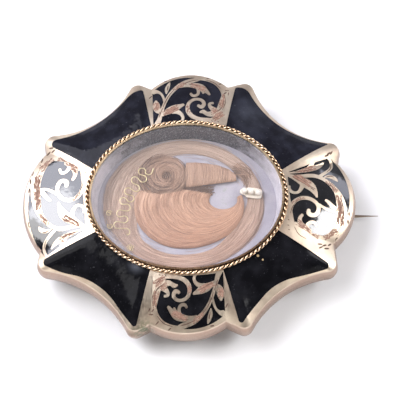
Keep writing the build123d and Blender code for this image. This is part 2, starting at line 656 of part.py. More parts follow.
# Hair: a flat border, a broad lock that sweeps round to the binding, a barrel roll and the
# whorl that it starts from
HAIR_Z = FLOOR_Z + TRIM_GAP
with BuildPart() as hair_ring:
    with BuildSketch(Plane.XY.offset(HAIR_Z)):
        with Locations((OVAL_X + RING_SHIFT, OVAL_Y)):
            Ellipse(RING_WIDTH / 2, RING_DEPTH / 2)
            Ellipse(RING_WIDTH / 2 - RING_BAND, RING_DEPTH / 2 - RING_BAND, mode=Mode.SUBTRACT)
    extrude(amount=RING_HEIGHT)
    fillet(hair_ring.faces().sort_by(Axis.Z)[-1].edges(), RING_ROUND)
hair_ring.part.label = "hair_ring"
pieces.append(hair_ring.part)


def hair_sections(table):
    """place, running direction, half breadth and half thickness of each section"""
    places = np.array([in_well(row["at"]) for row in table])
    runs = np.gradient(places, axis=0)
    for place, run, row in zip(places, runs, table):
        centre = Vector(*place, HAIR_Z + row["thickness"])
        plane = Plane(origin=centre, x_dir=(-run[1], run[0], 0), z_dir=(run[0], run[1], 0))
        yield plane, row["breadth"] * FLOOR_B, row["thickness"]


with BuildPart() as hair_lock:
    for plane, breadth, thickness in hair_sections(LOCK):
        with BuildSketch(plane):
            Ellipse(breadth, thickness)
    loft()
hair_lock.part.label = "hair_lock"
pieces.append(hair_lock.part)

with BuildPart() as hair_roll:
    for plane, breadth, thickness in hair_sections(ROLL):
        with BuildSketch(plane):
            Ellipse(breadth, thickness)
    loft()
hair_roll.part.label = "hair_roll"
pieces.append(hair_roll.part)

whorl_x, whorl_y = in_well(WHORL_AT)
with BuildPart() as hair_whorl:
    with BuildSketch(Plane.XZ.offset(-whorl_y)):
        with Locations((whorl_x + WHORL_RADIUS - WHORL_BAND / 2, HAIR_Z + WHORL_HEIGHT / 2)):
            Ellipse(WHORL_BAND / 2, WHORL_HEIGHT / 2)
    revolve(axis=Axis((whorl_x, whorl_y, 0), (0, 0, 1)))
hair_whorl.part.label = "hair_whorl"
pieces.append(hair_whorl.part)

# Pearls on their binding, which lies across the hair border
BINDING_Z = HAIR_Z + RING_HEIGHT + SEAT_GAP
places = [in_well(at) for at in PEARLS]
lean = math.degrees(math.atan2(places[-1][1] - places[0][1], places[-1][0] - places[0][0]))
middle = places[len(places) // 2]
with BuildPart() as pearl_binding:
    with BuildSketch(Plane.XY.offset(BINDING_Z)):
        with Locations(Location((middle[0], middle[1], 0), (0, 0, lean))):
            RectangleRounded(BINDING_WIDTH, BINDING_DEPTH, BINDING_ROUND)
    extrude(amount=BINDING_HEIGHT)
pearl_binding.part.label = "pearl_binding"
pieces.append(pearl_binding.part)

for number, place in enumerate(places, start=1):
    with BuildPart(Plane((*place, BINDING_Z + BINDING_HEIGHT + SEAT_GAP + PEARL_DIAMETER / 2))) as pearl:
        Sphere(PEARL_DIAMETER / 2)
    pearl.part.label = f"pearl_{number}"
    pieces.append(pearl.part)


def serpentine():
    """the loops of the gold wire: each loop's middle, and where the wire joins and leaves it"""
    with BuildLine() as run:
        Spline(*[in_well(at) for at in SERPENTINE])
    spine = run.edges()[0]
    count = round(spine.length / LOOP_PITCH)
    middles = []
    for number in range(count + 1):
        at = spine @ (number / count)
        along = spine % (number / count)
        side = LOOP_OFFSET if number % 2 else -LOOP_OFFSET
        middles.append(np.array([at.X - along.Y * side, at.Y + along.X * side]))
    leave, join = [], []
    for number, (here, there) in enumerate(zip(middles, middles[1:])):
        gap = there - here
        turn = math.acos(2 * LOOP_RADIUS / np.linalg.norm(gap))
        angle = math.atan2(gap[1], gap[0]) + (turn if number % 2 else -turn)
        arm = LOOP_RADIUS * np.array([math.cos(angle), math.sin(angle)])
        leave.append(here + arm)
        join.append(there - arm)
    return middles, leave, join


middles, leave, join = serpentine()
WIRE_Z = HAIR_Z + WHORL_HEIGHT + TRIM_GAP + WIRE_DIAMETER / 2
with BuildPart() as gold_wire:
    with BuildLine(Plane.XY.offset(WIRE_Z)) as route:
        Line(tuple(leave[0]), tuple(join[0]))
        for number in range(1, len(leave)):
            centre = middles[number]
            first, last = join[number - 1], leave[number]
            start = math.atan2(first[1] - centre[1], first[0] - centre[0])
            end = math.atan2(last[1] - centre[1], last[0] - centre[0])
            sign = -1 if number % 2 else 1
            turn = sign * ((sign * (end - start)) % (2 * math.pi))
            halfway = start + turn / 2
            crest = centre + LOOP_RADIUS * np.array([math.cos(halfway), math.sin(halfway)])
            ThreePointArc(tuple(first), tuple(crest), tuple(last))
            Line(tuple(last), tuple(join[number]))
    with BuildSketch(Plane(origin=route.line @ 0, z_dir=route.line % 0)):
        Circle(WIRE_DIAMETER / 2)
    sweep()
gold_wire.part.label = "gold_wire"
pieces.append(gold_wire.part)

# Small ornaments of the same wire: two open curls on the hair border and a flower
CURL_Z = HAIR_Z + RING_HEIGHT + TRIM_GAP + WIRE_DIAMETER / 2
for name, at in CURLS.items():
    x, y = in_well(at)
    with BuildPart() as curl:
        with BuildLine(Plane(origin=(x, y, CURL_Z))) as route:
            CenterArc((0, 0), CURL_RADIUS, CURL_START, CURL_SWEEP)
        with BuildSketch(Plane(origin=route.line @ 0, z_dir=route.line % 0)):
            Circle(WIRE_DIAMETER / 2)
        sweep()
    curl.part.label = name
    pieces.append(curl.part)

x, y = in_well(KNOT_AT)
with BuildPart() as gold_knot:
    with BuildSketch(Plane(origin=(x, y, CURL_Z - WIRE_DIAMETER / 2))):
        Circle(CURL_RADIUS / 2)
        with PolarLocations(CURL_RADIUS, PETALS):
            Circle(CURL_RADIUS * PETAL_SHARE)
    extrude(amount=WIRE_DIAMETER)
gold_knot.part.label = "gold_knot"
pieces.append(gold_knot.part)

# Pin: an eye round the hinge's rivet and a stem that tapers to its point
with BuildPart() as pin_stem:
    with BuildSketch(Plane.XZ.offset(EYE_WIDTH / 2)):
        with Locations((HINGE_X, 0)):
            Circle(EYE_RADIUS)
    extrude(amount=-EYE_WIDTH)
    point_x = HALF_W + PIN_OVERHANG
    with BuildSketch(Plane.XZ):
        with BuildLine():
            Polyline((HINGE_X, 0), (HINGE_X, PIN_RADIUS), (point_x - PIN_TAPER, PIN_RADIUS),
                     (point_x, PIN_POINT / 2), (point_x, 0), close=True)
        make_face()
    revolve(axis=Axis.X)
    with BuildSketch(Plane.XZ.offset(EYE_WIDTH)):
        with Locations((HINGE_X, 0)):
            Circle(RIVET_DIAMETER / 2 + RIVET_FIT)
    extrude(amount=-2 * EYE_WIDTH, mode=Mode.SUBTRACT)
pin_stem.part.label = "pin_stem"
pieces.append(pin_stem.part)

os.makedirs("parts", exist_ok=True)
for piece in pieces:
    export_step(piece, f"parts/{piece.label}.step")
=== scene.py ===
from math import acos, atan2, cos, dist, pi, radians, sin
from random import choice, random, seed, triangular, uniform

import bmesh
import bpy
import numpy as np
from mathutils import Matrix, Vector
from mathutils.bvhtree import BVHTree


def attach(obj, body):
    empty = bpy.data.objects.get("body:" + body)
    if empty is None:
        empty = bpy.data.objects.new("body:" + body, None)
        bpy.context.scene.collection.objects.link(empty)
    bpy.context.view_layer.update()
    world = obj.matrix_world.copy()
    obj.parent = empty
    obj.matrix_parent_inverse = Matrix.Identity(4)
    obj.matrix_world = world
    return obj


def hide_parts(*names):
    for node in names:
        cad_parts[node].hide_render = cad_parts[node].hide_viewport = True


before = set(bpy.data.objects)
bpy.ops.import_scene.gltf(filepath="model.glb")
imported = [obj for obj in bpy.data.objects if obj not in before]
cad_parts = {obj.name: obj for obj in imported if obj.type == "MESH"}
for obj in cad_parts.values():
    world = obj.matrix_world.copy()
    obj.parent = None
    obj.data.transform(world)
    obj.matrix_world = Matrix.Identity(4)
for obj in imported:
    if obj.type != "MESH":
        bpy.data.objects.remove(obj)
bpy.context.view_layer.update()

# Lengths are in millimetres in the frame of the model, and MM turns them into metres. The
# floor's reach and the places and sizes of the lights and the camera are in metres.
MM = 0.001
FLOOR_Z = -1.05
FLOOR_REACH = 0.9
seed(11)

# Sizes that the pieces share with the model
OVAL_X, OVAL_Y = -0.25, 0.1
OVAL_A, OVAL_B = 13.31, 10.62
ROPE_Z = 8.30
ROPE_RADIUS = 0.28
BEAD_PITCH = 0.72
ROPE_STEPS = 10
ROPE_SIDES = 9
HAIR_Z = 5.19
RING_X, RING_Y = -0.6, 0.1
RING_A, RING_B = 8.85, 7.25
RING_BAND = 1.75
RING_HEIGHT = 0.34
WHORL_X, WHORL_Y = -3.02, 4.0
WIRE_Z = 6.13
WIRE_RADIUS = 0.1
CURL_Z = 5.67

# The whorl is a ring of round section: its middle line, its half breadth and how high it lies
WHORL_RING = 1.65
WHORL_HALF = 1.05
WHORL_LIFT = 0.4
WHORL_RISE = 0.37
WHORL_HOLE = 0.6

# Where the broad lock starts, how far the start shifts across it, where it is lowest on its way
# round, and where it ends, in degrees
LOCK_START = 134
LOCK_SHIFT = 24
LOCK_FOOT = 270
LOCK_END = 374

# How many single hairs lie on each part
HAIRS = {
    "border": 420,
    "border_loose": 90,
    "lock": 520,
    "whorl": 240,
    "whorl_stray": 200,
    "whorl_crossing": 30,
    "roll": 300,
    "under_roll": 110,
    "roll_end": 120,
}

# Strands whose place across is beyond this one are painted dark, as shade in the hollows
SHADOWED = 500.0


# Materials
# The brown of old dirt in the gold's worn patches
GRIME = (0.2, 0.12, 0.08)


class Look:
    """A procedural material: a Principled shader and the nodes that feed it."""

    def __init__(self, name):
        self.material = bpy.data.materials.new(name)
        self.material.use_nodes = True
        self.tree = self.material.node_tree
        self.shader = self.tree.nodes["Principled BSDF"]
        self.place = self.tree.nodes.new("ShaderNodeTexCoord")

    def node(self, kind, **settings):
        made = self.tree.nodes.new(kind)
        for key, value in settings.items():
            setattr(made, key, value)
        return made

    def fill(self, socket, value):
        """a value or a link for one input"""
        if isinstance(value, (int, float, tuple)):
            socket.default_value = value
        else:
            self.tree.links.new(value, socket)

    def feed(self, made, **values):
        """values or links for the inputs of a node, by their names"""
        for key, value in values.items():
            self.fill(made.inputs[key.replace("_", " ")], value)

    def set(self, **values):
        """values or links for the shader; hands back the material"""
        self.feed(self.shader, **values)
        return self.material

    def millimetres(self, stretch=(1, 1, 1), turn=(0, 0, 0)):
        """object coordinates in millimetres, stretched and turned"""
        scale = tuple(1000 * value for value in stretch)
        mapping = self.node("ShaderNodeMapping")
        self.feed(mapping, Rotation=turn, Scale=scale, Vector=self.place.outputs["Object"])
        return mapping.outputs["Vector"]

    def along(self, stretch):
        """strand coordinates: length along and place across, in millimetres"""
        mapping = self.node("ShaderNodeMapping")
        self.feed(mapping, Scale=stretch, Vector=self.place.outputs["UV"])
        return mapping.outputs["Vector"]

    def noise(self, vector, scale, detail, roughness=0.5):
        made = self.node("ShaderNodeTexNoise")
        self.feed(made, Scale=scale, Detail=detail, Roughness=roughness, Vector=vector)
        return made.outputs["Fac"]

    def cloud(self, scale, detail, roughness=0.5):
        """a noise over object coordinates"""
        return self.noise(self.millimetres(), scale, detail, roughness)

    def ramp(self, value, stops):
        """colours at places from 0 to 1"""
        made = self.node("ShaderNodeValToRGB")
        elements = made.color_ramp.elements
        while len(elements) < len(stops):
            elements.new(0.5)
        for element, (at, colour) in zip(elements, stops):
            element.position = at
            element.color = (*colour, 1)
        self.fill(made.inputs["Fac"], value)
        return made.outputs["Color"]

    def grey(self, value, low, high, first=0, last=1):
        """a value taken from one range to another"""
        made = self.node("ShaderNodeMapRange")
        self.feed(made, From_Min=low, From_Max=high, To_Min=first, To_Max=last, Value=value)
        return made.outputs["Result"]

    def mix(self, factor, first, second, blend="MIX"):
        made = self.node("ShaderNodeMix", data_type="RGBA", blend_type=blend)
        self.fill(made.inputs["Factor"], factor)
        for value, socket in ((first, made.inputs[6]), (second, made.inputs[7])):
            self.fill(socket, (*value, 1) if isinstance(value, tuple) else value)
        return made.outputs[2]

    def math(self, kind, first, second):
        made = self.node("ShaderNodeMath", operation=kind)
        self.fill(made.inputs[0], first)
        self.fill(made.inputs[1], second)
        return made.outputs[0]

    def plus(self, first, second):
        return self.math("ADD", first, second)

    def times(self, first, second):
        return self.math("MULTIPLY", first, second)

    def wander(self, value, first, second):
        """a colour that goes from the first to the second with a noise"""
        return self.mix(self.grey(value, 0.35, 0.65), first, second)

    def near(self, place, inner, outer, stretch=(1, 1, 1)):
        """1 within the inner radius of a place in millimetres, falling to 0 at the outer one"""
        gap = self.node("ShaderNodeVectorMath", operation="DISTANCE")
        self.fill(gap.inputs[0], self.millimetres(stretch))
        self.fill(gap.inputs[1], place)
        return self.grey(gap.outputs["Value"], inner, outer, 1, 0)

    def above(self, x, y, inner, outer):
        """the same round an upright line"""
        return self.near((x, y, 0), inner, outer, (1, 1, 0))

    def across(self):
        """the strand coordinate across"""
        made = self.node("ShaderNodeSeparateXYZ")
        self.fill(made.inputs[0], self.along((1, 1, 1)))
        return made.outputs["Y"]

    def axis(self, name):
        """one object coordinate in millimetres"""
        made = self.node("ShaderNodeSeparateXYZ")
        self.fill(made.inputs[0], self.millimetres())
        return made.outputs[name]

    def bump(self, height, strength, distance):
        made = self.node("ShaderNodeBump")
        self.feed(made, Strength=strength, Distance=distance, Height=height)
        return self.set(Normal=made.outputs["Normal"])


def gold_look(name, light, dark, rough, grime):
    """old gold: tone that wanders, rubbed and duller patches, fine scratches and shallow dents; its
    colour stays at hand as worn, for what lies over it"""
    look = Look(name)
    broad = look.cloud(0.35, 4)
    fine = look.cloud(2.6, 5, roughness=0.65)
    dents = look.cloud(0.9, 2)
    scratches = look.noise(look.millimetres((6.0, 0.5, 1.0), (0, 0, 0.6)), 1.4, 4)
    tone = look.wander(broad, dark, light)
    worn = look.mix(look.grey(fine, 0.6, 0.8, 0, grime), tone, GRIME)
    look.set(Base_Color=worn, Metallic=1.0)
    uneven = look.plus(look.grey(fine, 0.3, 0.7, -0.05, 0.08), look.grey(scratches, 0.4, 0.7, 0, 0.1))
    look.set(Roughness=look.plus(uneven, rough))
    height = look.plus(look.times(fine, 0.25), look.times(scratches, 0.3))
    look.bump(look.plus(height, dents), 0.35, 0.00006)
    look.worn = worn
    return look


def case_gold():
    """the case's gold: greyer on the face; rosier on the wall, where painted shade also darkens it; darker
    towards the wall's foot; with a green verdigris patch low on the left
    """
    look = gold_look("Gold_case", (0.76, 0.65, 0.51), (0.58, 0.46, 0.35), 0.33, 0.5)
    height = look.grey(look.axis("Z"), 5.2, 5.9, 1, 0)
    # The wall's gold is rosier, and darker than the face's as painted shade
    wall_rose_and_shade = look.mix(height, look.worn, (0.36, 0.245, 0.19))
    wall_rose_and_shade_share = look.mix(look.times(height, 0.9), look.worn, wall_rose_and_shade)
    foot = look.grey(look.axis("Z"), 2.2, 3.0, 0.75, 0)
    deep = look.mix(foot, wall_rose_and_shade_share, (0.22, 0.13, 0.09))
    patches = look.cloud(1.9, 3)
    cusp = look.near((-6.3, -17.0, 4.6), 0.5, 2.2)
    tint_share = look.times(cusp, look.grey(patches, 0.38, 0.54, 0, 0.95))
    green = look.mix(tint_share, deep, (0.11, 0.14, 0.075))
    brown = look.times(look.near((-7.6, -17.6, 4.0), 0.3, 1.1), 0.7)
    return look.set(Base_Color=look.mix(brown, green, (0.16, 0.09, 0.05)))


def bezel_gold():
    """the collet's gold, darkened towards brown along its lower side as painted shade"""
    look = gold_look("Gold_bezel", (0.72, 0.55, 0.34), (0.5, 0.36, 0.22), 0.26, 0.4)
    # Painted shade: the lower side darkens towards brown
    lower = look.grey(look.axis("Y"), 2.0, -7.0, 0, 0.85)
    return look.set(Base_Color=look.mix(lower, look.worn, (0.17, 0.09, 0.05)))


def rope_gold():
    """the twisted wire's copper gold, with painted shade where its strands meet"""
    look = gold_look("Gold_rope", (0.85, 0.63, 0.43), (0.73, 0.5, 0.32), 0.2, 0.3)
    # Painted shade: darker towards the wire's middle line, where the strands meet
    crevice_shade = look.grey(look.across(), 0.6, 0.84, 1, 0)
    return look.set(Base_Color=look.mix(crevice_shade, look.worn, (0.13, 0.065, 0.035)))


def enamel_look(name, shine, deep, veiled):
    """black glass enamel with settled dust and two chips, a painted reflection as a lighter blue band over
    the north-east and a soft painted highlight on the south-west
    """
    look = Look(name)
    specks = look.cloud(3.4, 2)
    dust = look.cloud(9.0, 2)
    veil = look.cloud(0.5, 4)
    both = look.times(look.grey(specks, 0.62, 0.74), look.grey(dust, 0.54, 0.7))
    base = look.mix(look.grey(veil, 0.4, 0.7), deep, veiled)
    north_east = look.above(8.4, 12.2, 0.3, 3.4)
    # Painted reflection: a lighter, bluer band over the north-east
    north_east_reflection = look.times(north_east, look.grey(veil, 0.3, 0.7, 0.3, 0.9))
    with_painted_reflection = look.mix(north_east_reflection, base, (0.045, 0.048, 0.062))
    south_west = look.above(-6.9, -9.3, 0.0, 1.7)
    # Painted highlight: a soft lighter patch on the south-west
    south_west_highlight = look.times(look.math("POWER", south_west, 2.0), 0.35)
    lit = look.mix(south_west_highlight, with_painted_reflection, (0.3, 0.32, 0.38))
    dusty = look.mix(look.times(both, 0.35), lit, (0.3, 0.3, 0.33))
    large = look.above(9.2, -8.1, 0.12, 0.2)
    small = look.above(9.85, -8.6, 0.08, 0.15)
    chips = look.math("MAXIMUM", large, small)
    look.set(Base_Color=look.mix(chips, dusty, (0.45, 0.33, 0.18)))
    look.set(Roughness=look.grey(veil, 0.3, 0.8, 0.07, 0.13), IOR=1.85, Specular_IOR_Level=shine)
    return look.bump(look.cloud(0.7, 2), 0.25, 0.00012)


def glass_look():
    """clear glass: a mirror as strong as the angle makes it, under dust that thins to the right"""
    look = Look("Glass")
    smears = look.cloud(0.8, 4)
    fresnel = look.node("ShaderNodeFresnel")
    fresnel.inputs["IOR"].default_value = 1.38
    grit = look.cloud(3.2, 4, roughness=0.7)
    corner = look.above(-9.4, -6.6, 0.3, 5.0)
    settled = look.times(corner, look.grey(grit, 0.4, 0.7, 0.02, 0.22))
    film = look.plus(settled, look.grey(look.axis("X"), 12.0, -12.0, 0.03, 0.08))
    front = look.math("SUBTRACT", 1.0, look.node("ShaderNodeNewGeometry").outputs["Backfacing"])
    mirror = look.plus(fresnel.outputs["Fac"], look.grey(smears, 0.5, 0.8, 0.0, 0.03))
    both = look.plus(mirror, film)
    dull = look.math("DIVIDE", film, both)
    look.set(Base_Color=look.mix(dull, (0.97, 0.98, 1.0), (0.42, 0.39, 0.38)))
    look.set(Metallic=look.math("SUBTRACT", 1.0, dull), Roughness=look.times(dull, 0.6))
    return look.set(Alpha=look.times(both, front))


def liner_look():
    """pale lilac collar, darkened along its upper side as painted shade, with dust specks in the dark"""
    look = Look("Liner")
    cloud = look.cloud(0.8, 4)
    specks = look.cloud(5.5, 3, roughness=0.7)
    pale = look.wander(cloud, (0.56, 0.54, 0.6), (0.7, 0.67, 0.72))
    north = look.plus(look.axis("Y"), look.grey(cloud, 0.3, 0.7, -1.2, 1.2))
    # Painted shade: the upper side turns dark, with dust specks in the dark
    tint_share = look.grey(north, 4.2, 8.2)
    dark = look.mix(look.grey(specks, 0.5, 0.66, 0, 0.9), (0.05, 0.05, 0.06), (0.3, 0.3, 0.34))
    look.set(Base_Color=look.mix(tint_share, pale, dark), Roughness=0.45)
    return look.bump(specks, 0.2, 0.00003)


def opaline_look():
    """milky opaline plate with a few greenish specks"""
    look = Look("Opaline")
    cloud = look.cloud(0.45, 3)
    specks = look.cloud(2.6, 2)
    milk = look.wander(cloud, (0.38, 0.36, 0.41), (0.45, 0.42, 0.46))
    green = look.times(look.near((4.6, 1.2, 5.15), 0.6, 2.2), look.grey(specks, 0.6, 0.7, 0, 0.6))
    look.set(Base_Color=look.mix(green, milk, (0.3, 0.36, 0.26)), Roughness=0.3, Coat_Weight=0.3)
    return look.bump(cloud, 0.1, 0.00005)


def hair_look(name, pale, mid, dark):
    """fine hair: each strand a little lighter or darker, changing slowly along its length"""
    look = Look(name)
    strands = look.noise(look.along((0.12, 9.0, 1)), 1.0, 4, roughness=0.75)
    broad = look.noise(look.along((0.05, 1.1, 1)), 1.0, 3)
    cloud = look.cloud(0.4, 2)
    share = look.plus(look.times(strands, 0.62), look.times(broad, 0.38))
    colour = look.ramp(share, [(0.37, dark), (0.49, mid), (0.62, pale)])
    lower = look.times(look.grey(look.axis("Y"), 2.0, -6.0), 0.5)
    warm = look.mix(lower, colour, look.mix(1.0, colour, (1.0, 0.82, 0.74), "MULTIPLY"))
    # Painted shade: strands marked beyond SHADOWED take the dark colour
    in_painted_shade = look.grey(look.across(), SHADOWED - 1, SHADOWED, 0, 0.8)
    shaded = look.mix(in_painted_shade, look.mix(look.grey(cloud, 0.5, 0.8, 0, 0.35), warm, mid), dark)
    look.set(Base_Color=shaded)
    look.set(Roughness=0.5, Specular_IOR_Level=0.35, Sheen_Weight=0.15)
    return look.bump(strands, 0.5, 0.00004)


def pearl_look():
    """small seed pearls: cream with a soft sheen and faint growth bands"""
    look = Look("Pearl")
    cloud = look.cloud(2.2, 3)
    look.set(Base_Color=look.wander(cloud, (0.72, 0.66, 0.55), (0.84, 0.8, 0.72)))
    look.set(Roughness=look.grey(cloud, 0.3, 0.7, 0.18, 0.3), Coat_Weight=0.4, Sheen_Weight=0.3)
    return look.bump(look.cloud(5.0, 3), 0.15, 0.00003)


def ivory_look():
    """cream binding under the pearls, browned in its hollows"""
    look = Look("Binding")
    cloud = look.cloud(2.0, 4)
    grain = look.noise(look.millimetres((1, 5, 1)), 3.0, 3)
    cream = look.mix(look.grey(cloud, 0.35, 0.7), (0.86, 0.8, 0.7), (0.76, 0.67, 0.54))
    look.set(Base_Color=look.mix(look.grey(grain, 0.55, 0.75, 0, 0.4), cream, (0.42, 0.33, 0.24)))
    look.set(Roughness=0.42)
    return look.bump(grain, 0.3, 0.00003)


def line_look(name, first, second):
    """cut lines in a dark colour that wanders a little"""
    look = Look(name)
    cloud = look.cloud(3.0, 3)
    look.set(Base_Color=look.wander(cloud, first, second))
    look.set(Roughness=look.grey(cloud, 0.3, 0.7, 0.5, 0.7), Specular_IOR_Level=0.15)
    return look.bump(look.cloud(8.0, 2), 0.3, 0.00003)


def floor_look():
    """plain pale paper"""
    look = Look("Floor")
    grain = look.cloud(0.4, 3)
    return look.set(Base_Color=look.mix(grain, (0.9, 0.9, 0.9), (0.93, 0.93, 0.93)), Roughness=0.9)


GOLD_CASE = case_gold()
GOLD_BEZEL = bezel_gold()
GOLD_ROPE = rope_gold()
GOLD_TRIM = gold_look("Gold_trim", (0.86, 0.76, 0.48), (0.7, 0.58, 0.34), 0.38, 0.3).material
GOLD_CURL = gold_look("Gold_curl", (0.9, 0.76, 0.46), (0.7, 0.55, 0.3), 0.36, 0.2).material
GOLD_PIN = gold_look("Gold_pin", (0.34, 0.27, 0.21), (0.26, 0.19, 0.14), 0.3, 0.4).material
# One black enamel in three copies: the north one's lighter, bluer colour is a painted reflection of the
# sky; the south one has little shine and a colour a touch lighter as a painted soft sheen
ENAMEL = enamel_look("Enamel", 0.5, (0.0035, 0.0035, 0.004), (0.009, 0.009, 0.011))
ENAMEL_DARK = enamel_look("Enamel_dark", 0.03, (0.0045, 0.0045, 0.0055), (0.011, 0.011, 0.0135))
ENAMEL_PAINTED_REFLECTION = enamel_look("Enamel_painted_reflection", 0.06, (0.008, 0.008, 0.012), (0.02, 0.021, 0.031))
GLASS = glass_look()
LINER = liner_look()
OPALINE = opaline_look()
HAIR_LOCK = hair_look("Hair_lock", (0.74, 0.49, 0.345), (0.53, 0.325, 0.22), (0.26, 0.14, 0.095))
HAIR_RING = hair_look("Hair_ring", (0.74, 0.56, 0.45), (0.54, 0.4, 0.32), (0.28, 0.19, 0.15))
HAIR_ROLL = hair_look("Hair_roll", (0.65, 0.44, 0.32), (0.43, 0.275, 0.195), (0.15, 0.09, 0.065))
PEARL = pearl_look()
IVORY = ivory_look()
DARK_LINE = line_look("Cut_line", (0.09, 0.055, 0.04), (0.16, 0.1, 0.075))
ROSE_LINE = line_look("Rose_line", (0.22, 0.125, 0.09), (0.33, 0.2, 0.15))


# Mesh helpers
def placed(name, data):
    """a new object in the scene"""
    made = bpy.data.objects.new(name, data)
    bpy.context.scene.collection.objects.link(made)
    return made


class Heap:
    """points, faces and strand coordinates of one piece, gathered from many parts"""

    def __init__(self):
        self.points, self.faces, self.marks = [], [], []
        self.count = 0

    def add(self, points, faces, marks):
        self.points.append(np.asarray(points, float))
        self.marks.append(np.asarray(marks, float))
        self.faces.extend([tuple(int(corner) + self.count for corner in face) for face in faces])
        self.count += len(points)

    def piece(self, name, material):
        """the finished object, which rides with the brooch"""
        mesh = bpy.data.meshes.new(name)
        points = np.concatenate(self.points) * MM
        mesh.from_pydata(points.tolist(), [], self.faces)
        mesh.update()
        marks = np.concatenate(self.marks)
        corners = np.zeros(len(mesh.loops), np.int32)
        mesh.loops.foreach_get("vertex_index", corners)
        layer = mesh.uv_layers.new(name="UVMap")
        layer.data.foreach_set("uv", marks[corners].ravel())
        mesh.polygons.foreach_set("use_smooth", [True] * len(mesh.polygons))
        mesh.materials.append(material)
        made = placed(name, mesh)
        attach(made, "root")
        return made


def smooth_line(points, step):
    """points a step apart along a smooth line through the given ones"""
    given = np.asarray(points, float)
    if len(given) == 2:
        count = max(2, int(np.linalg.norm(given[1] - given[0]) / step) + 1)
        return given[0] + np.linspace(0, 1, count)[:, None] * (given[1] - given[0])
    before = 2 * given[0] - given[1]
    after = 2 * given[-1] - given[-2]
    padded = np.vstack([before, given, after])
    found = []
    for first, here, there, last in zip(padded, padded[1:], padded[2:], padded[3:]):
        count = max(2, int(np.linalg.norm(there - here) / step))
        t = np.linspace(0, 1, count, endpoint=False)[:, None]
        square = 2 * first - 5 * here + 4 * there - last
        cube = 3 * here - first - 3 * there + last
        found.append(0.5 * (2 * here + (there - first) * t + square * t ** 2 + cube * t ** 3))
    return np.vstack(found + [given[-1:]])


def tube(heap, path, radius, sides=6, closed=False, mark=0.0, mark_width=None, caps=False):
    """a tube of changing radius along a path that stays nearly level"""
    count = len(path)
    if closed:
        run = np.roll(path, -1, axis=0) - np.roll(path, 1, axis=0)
    else:
        run = np.gradient(path, axis=0)
    run /= np.linalg.norm(run, axis=1)[:, None] + 1e-12
    side = np.cross(run, (0, 0, 1.0))
    side /= np.linalg.norm(side, axis=1)[:, None] + 1e-12
    up = np.cross(side, run)
    radius = np.broadcast_to(radius, (count,))
    angles = np.arange(sides) * 2 * pi / sides
    ring = np.cos(angles)[None, :, None] * side[:, None, :]
    ring = ring + np.sin(angles)[None, :, None] * up[:, None, :]
    points = (path[:, None, :] + ring * radius[:, None, None]).reshape(-1, 3)
    faces = []
    for number in range(count if closed else count - 1):
        here = number * sides
        there = (number + 1) % count * sides
        for corner in range(sides):
            following = (corner + 1) % sides
            faces.append((here + corner, here + following, there + following, there + corner))
    if caps:
        faces.append(tuple(range(sides - 1, -1, -1)))
        faces.append(tuple(range((count - 1) * sides, count * sides)))
    gaps = np.linalg.norm(np.diff(path, axis=0), axis=1)
    length = np.concatenate([[0], np.cumsum(gaps)])
    width = 2 * pi * radius[0] if mark_width is None else mark_width
    across = mark + np.arange(sides) / sides * width
    marks = np.stack([np.repeat(length, sides), np.tile(across, count)], axis=1)
    heap.add(points, faces, marks)


def oval(x, y, a, b, angle, height):
    """points at these angles on an oval round a place"""
    return np.stack([x + a * np.cos(angle), y + b * np.sin(angle), height + 0 * angle], axis=-1)


def spread(along, across):
    """strand coordinates over a grid"""
    return np.stack(np.broadcast_arrays(along, across), axis=2)


def taper(t, thick, end=0.03, power=0.4):
    """the thickness of a hair that thins out at both ends"""
    return thick * np.sin(pi * np.clip(t, end, 1 - end)) ** power


def strand(heap, path, thick, in_painted_shade=False):
    """one hair with its own tone, painted dark as shade if it lies in a hollow"""
    mark = (SHADOWED if in_painted_shade else 0) + uniform(0, 60)
    tube(heap, path, thick, sides=4, mark=mark, mark_width=0.05)


def sheet(heap, grid, marks, closed=False):
    """a grid of points joined into quads; closed joins its last row to the first"""
    rows, columns = grid.shape[:2]
    faces = []
    for row in range(rows if closed else rows - 1):
        for column in range(columns - 1):
            a = row * columns + column
            b = (row + 1) % rows * columns + column
            faces.append((a, b, b + 1, a + 1))
    heap.add(grid.reshape(-1, 3), faces, marks.reshape(-1, 2))


def ball(heap, centre, radius, rough=0.04):
    """a small rounded bead, slightly uneven"""
    shape = bmesh.new()
    bmesh.ops.create_icosphere(shape, subdivisions=4, radius=1.0)
    places = np.array([vertex.co for vertex in shape.verts])
    faces = [[vertex.index for vertex in face.verts] for face in shape.faces]
    shape.free()
    wave = np.sin(places[:, 0] * 3.1 + centre[0] * 7) * np.cos(places[:, 1] * 2.7 + centre[1] * 5)
    size = radius * (1 - rough + rough * wave)
    points = places * size[:, None] + np.asarray(centre)
    heap.add(points, faces, places[:, (0, 2)] * radius)


# The solids that stay, by how their names start
LOOKS = {
    "case": GOLD_CASE,
    "enamel_n": ENAMEL_PAINTED_REFLECTION,
    "enamel_e": ENAMEL,
    "enamel_s": ENAMEL_DARK,
    "enamel_w": ENAMEL,
    "bezel": GOLD_BEZEL,
    "glass": GLASS,
    "liner": LINER,
    "backing": OPALINE,
    "pin_stem": GOLD_PIN,
}
for name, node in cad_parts.items():
    for start, look in LOOKS.items():
        if name.startswith(start):
            node.data.materials.clear()
            node.data.materials.append(look)


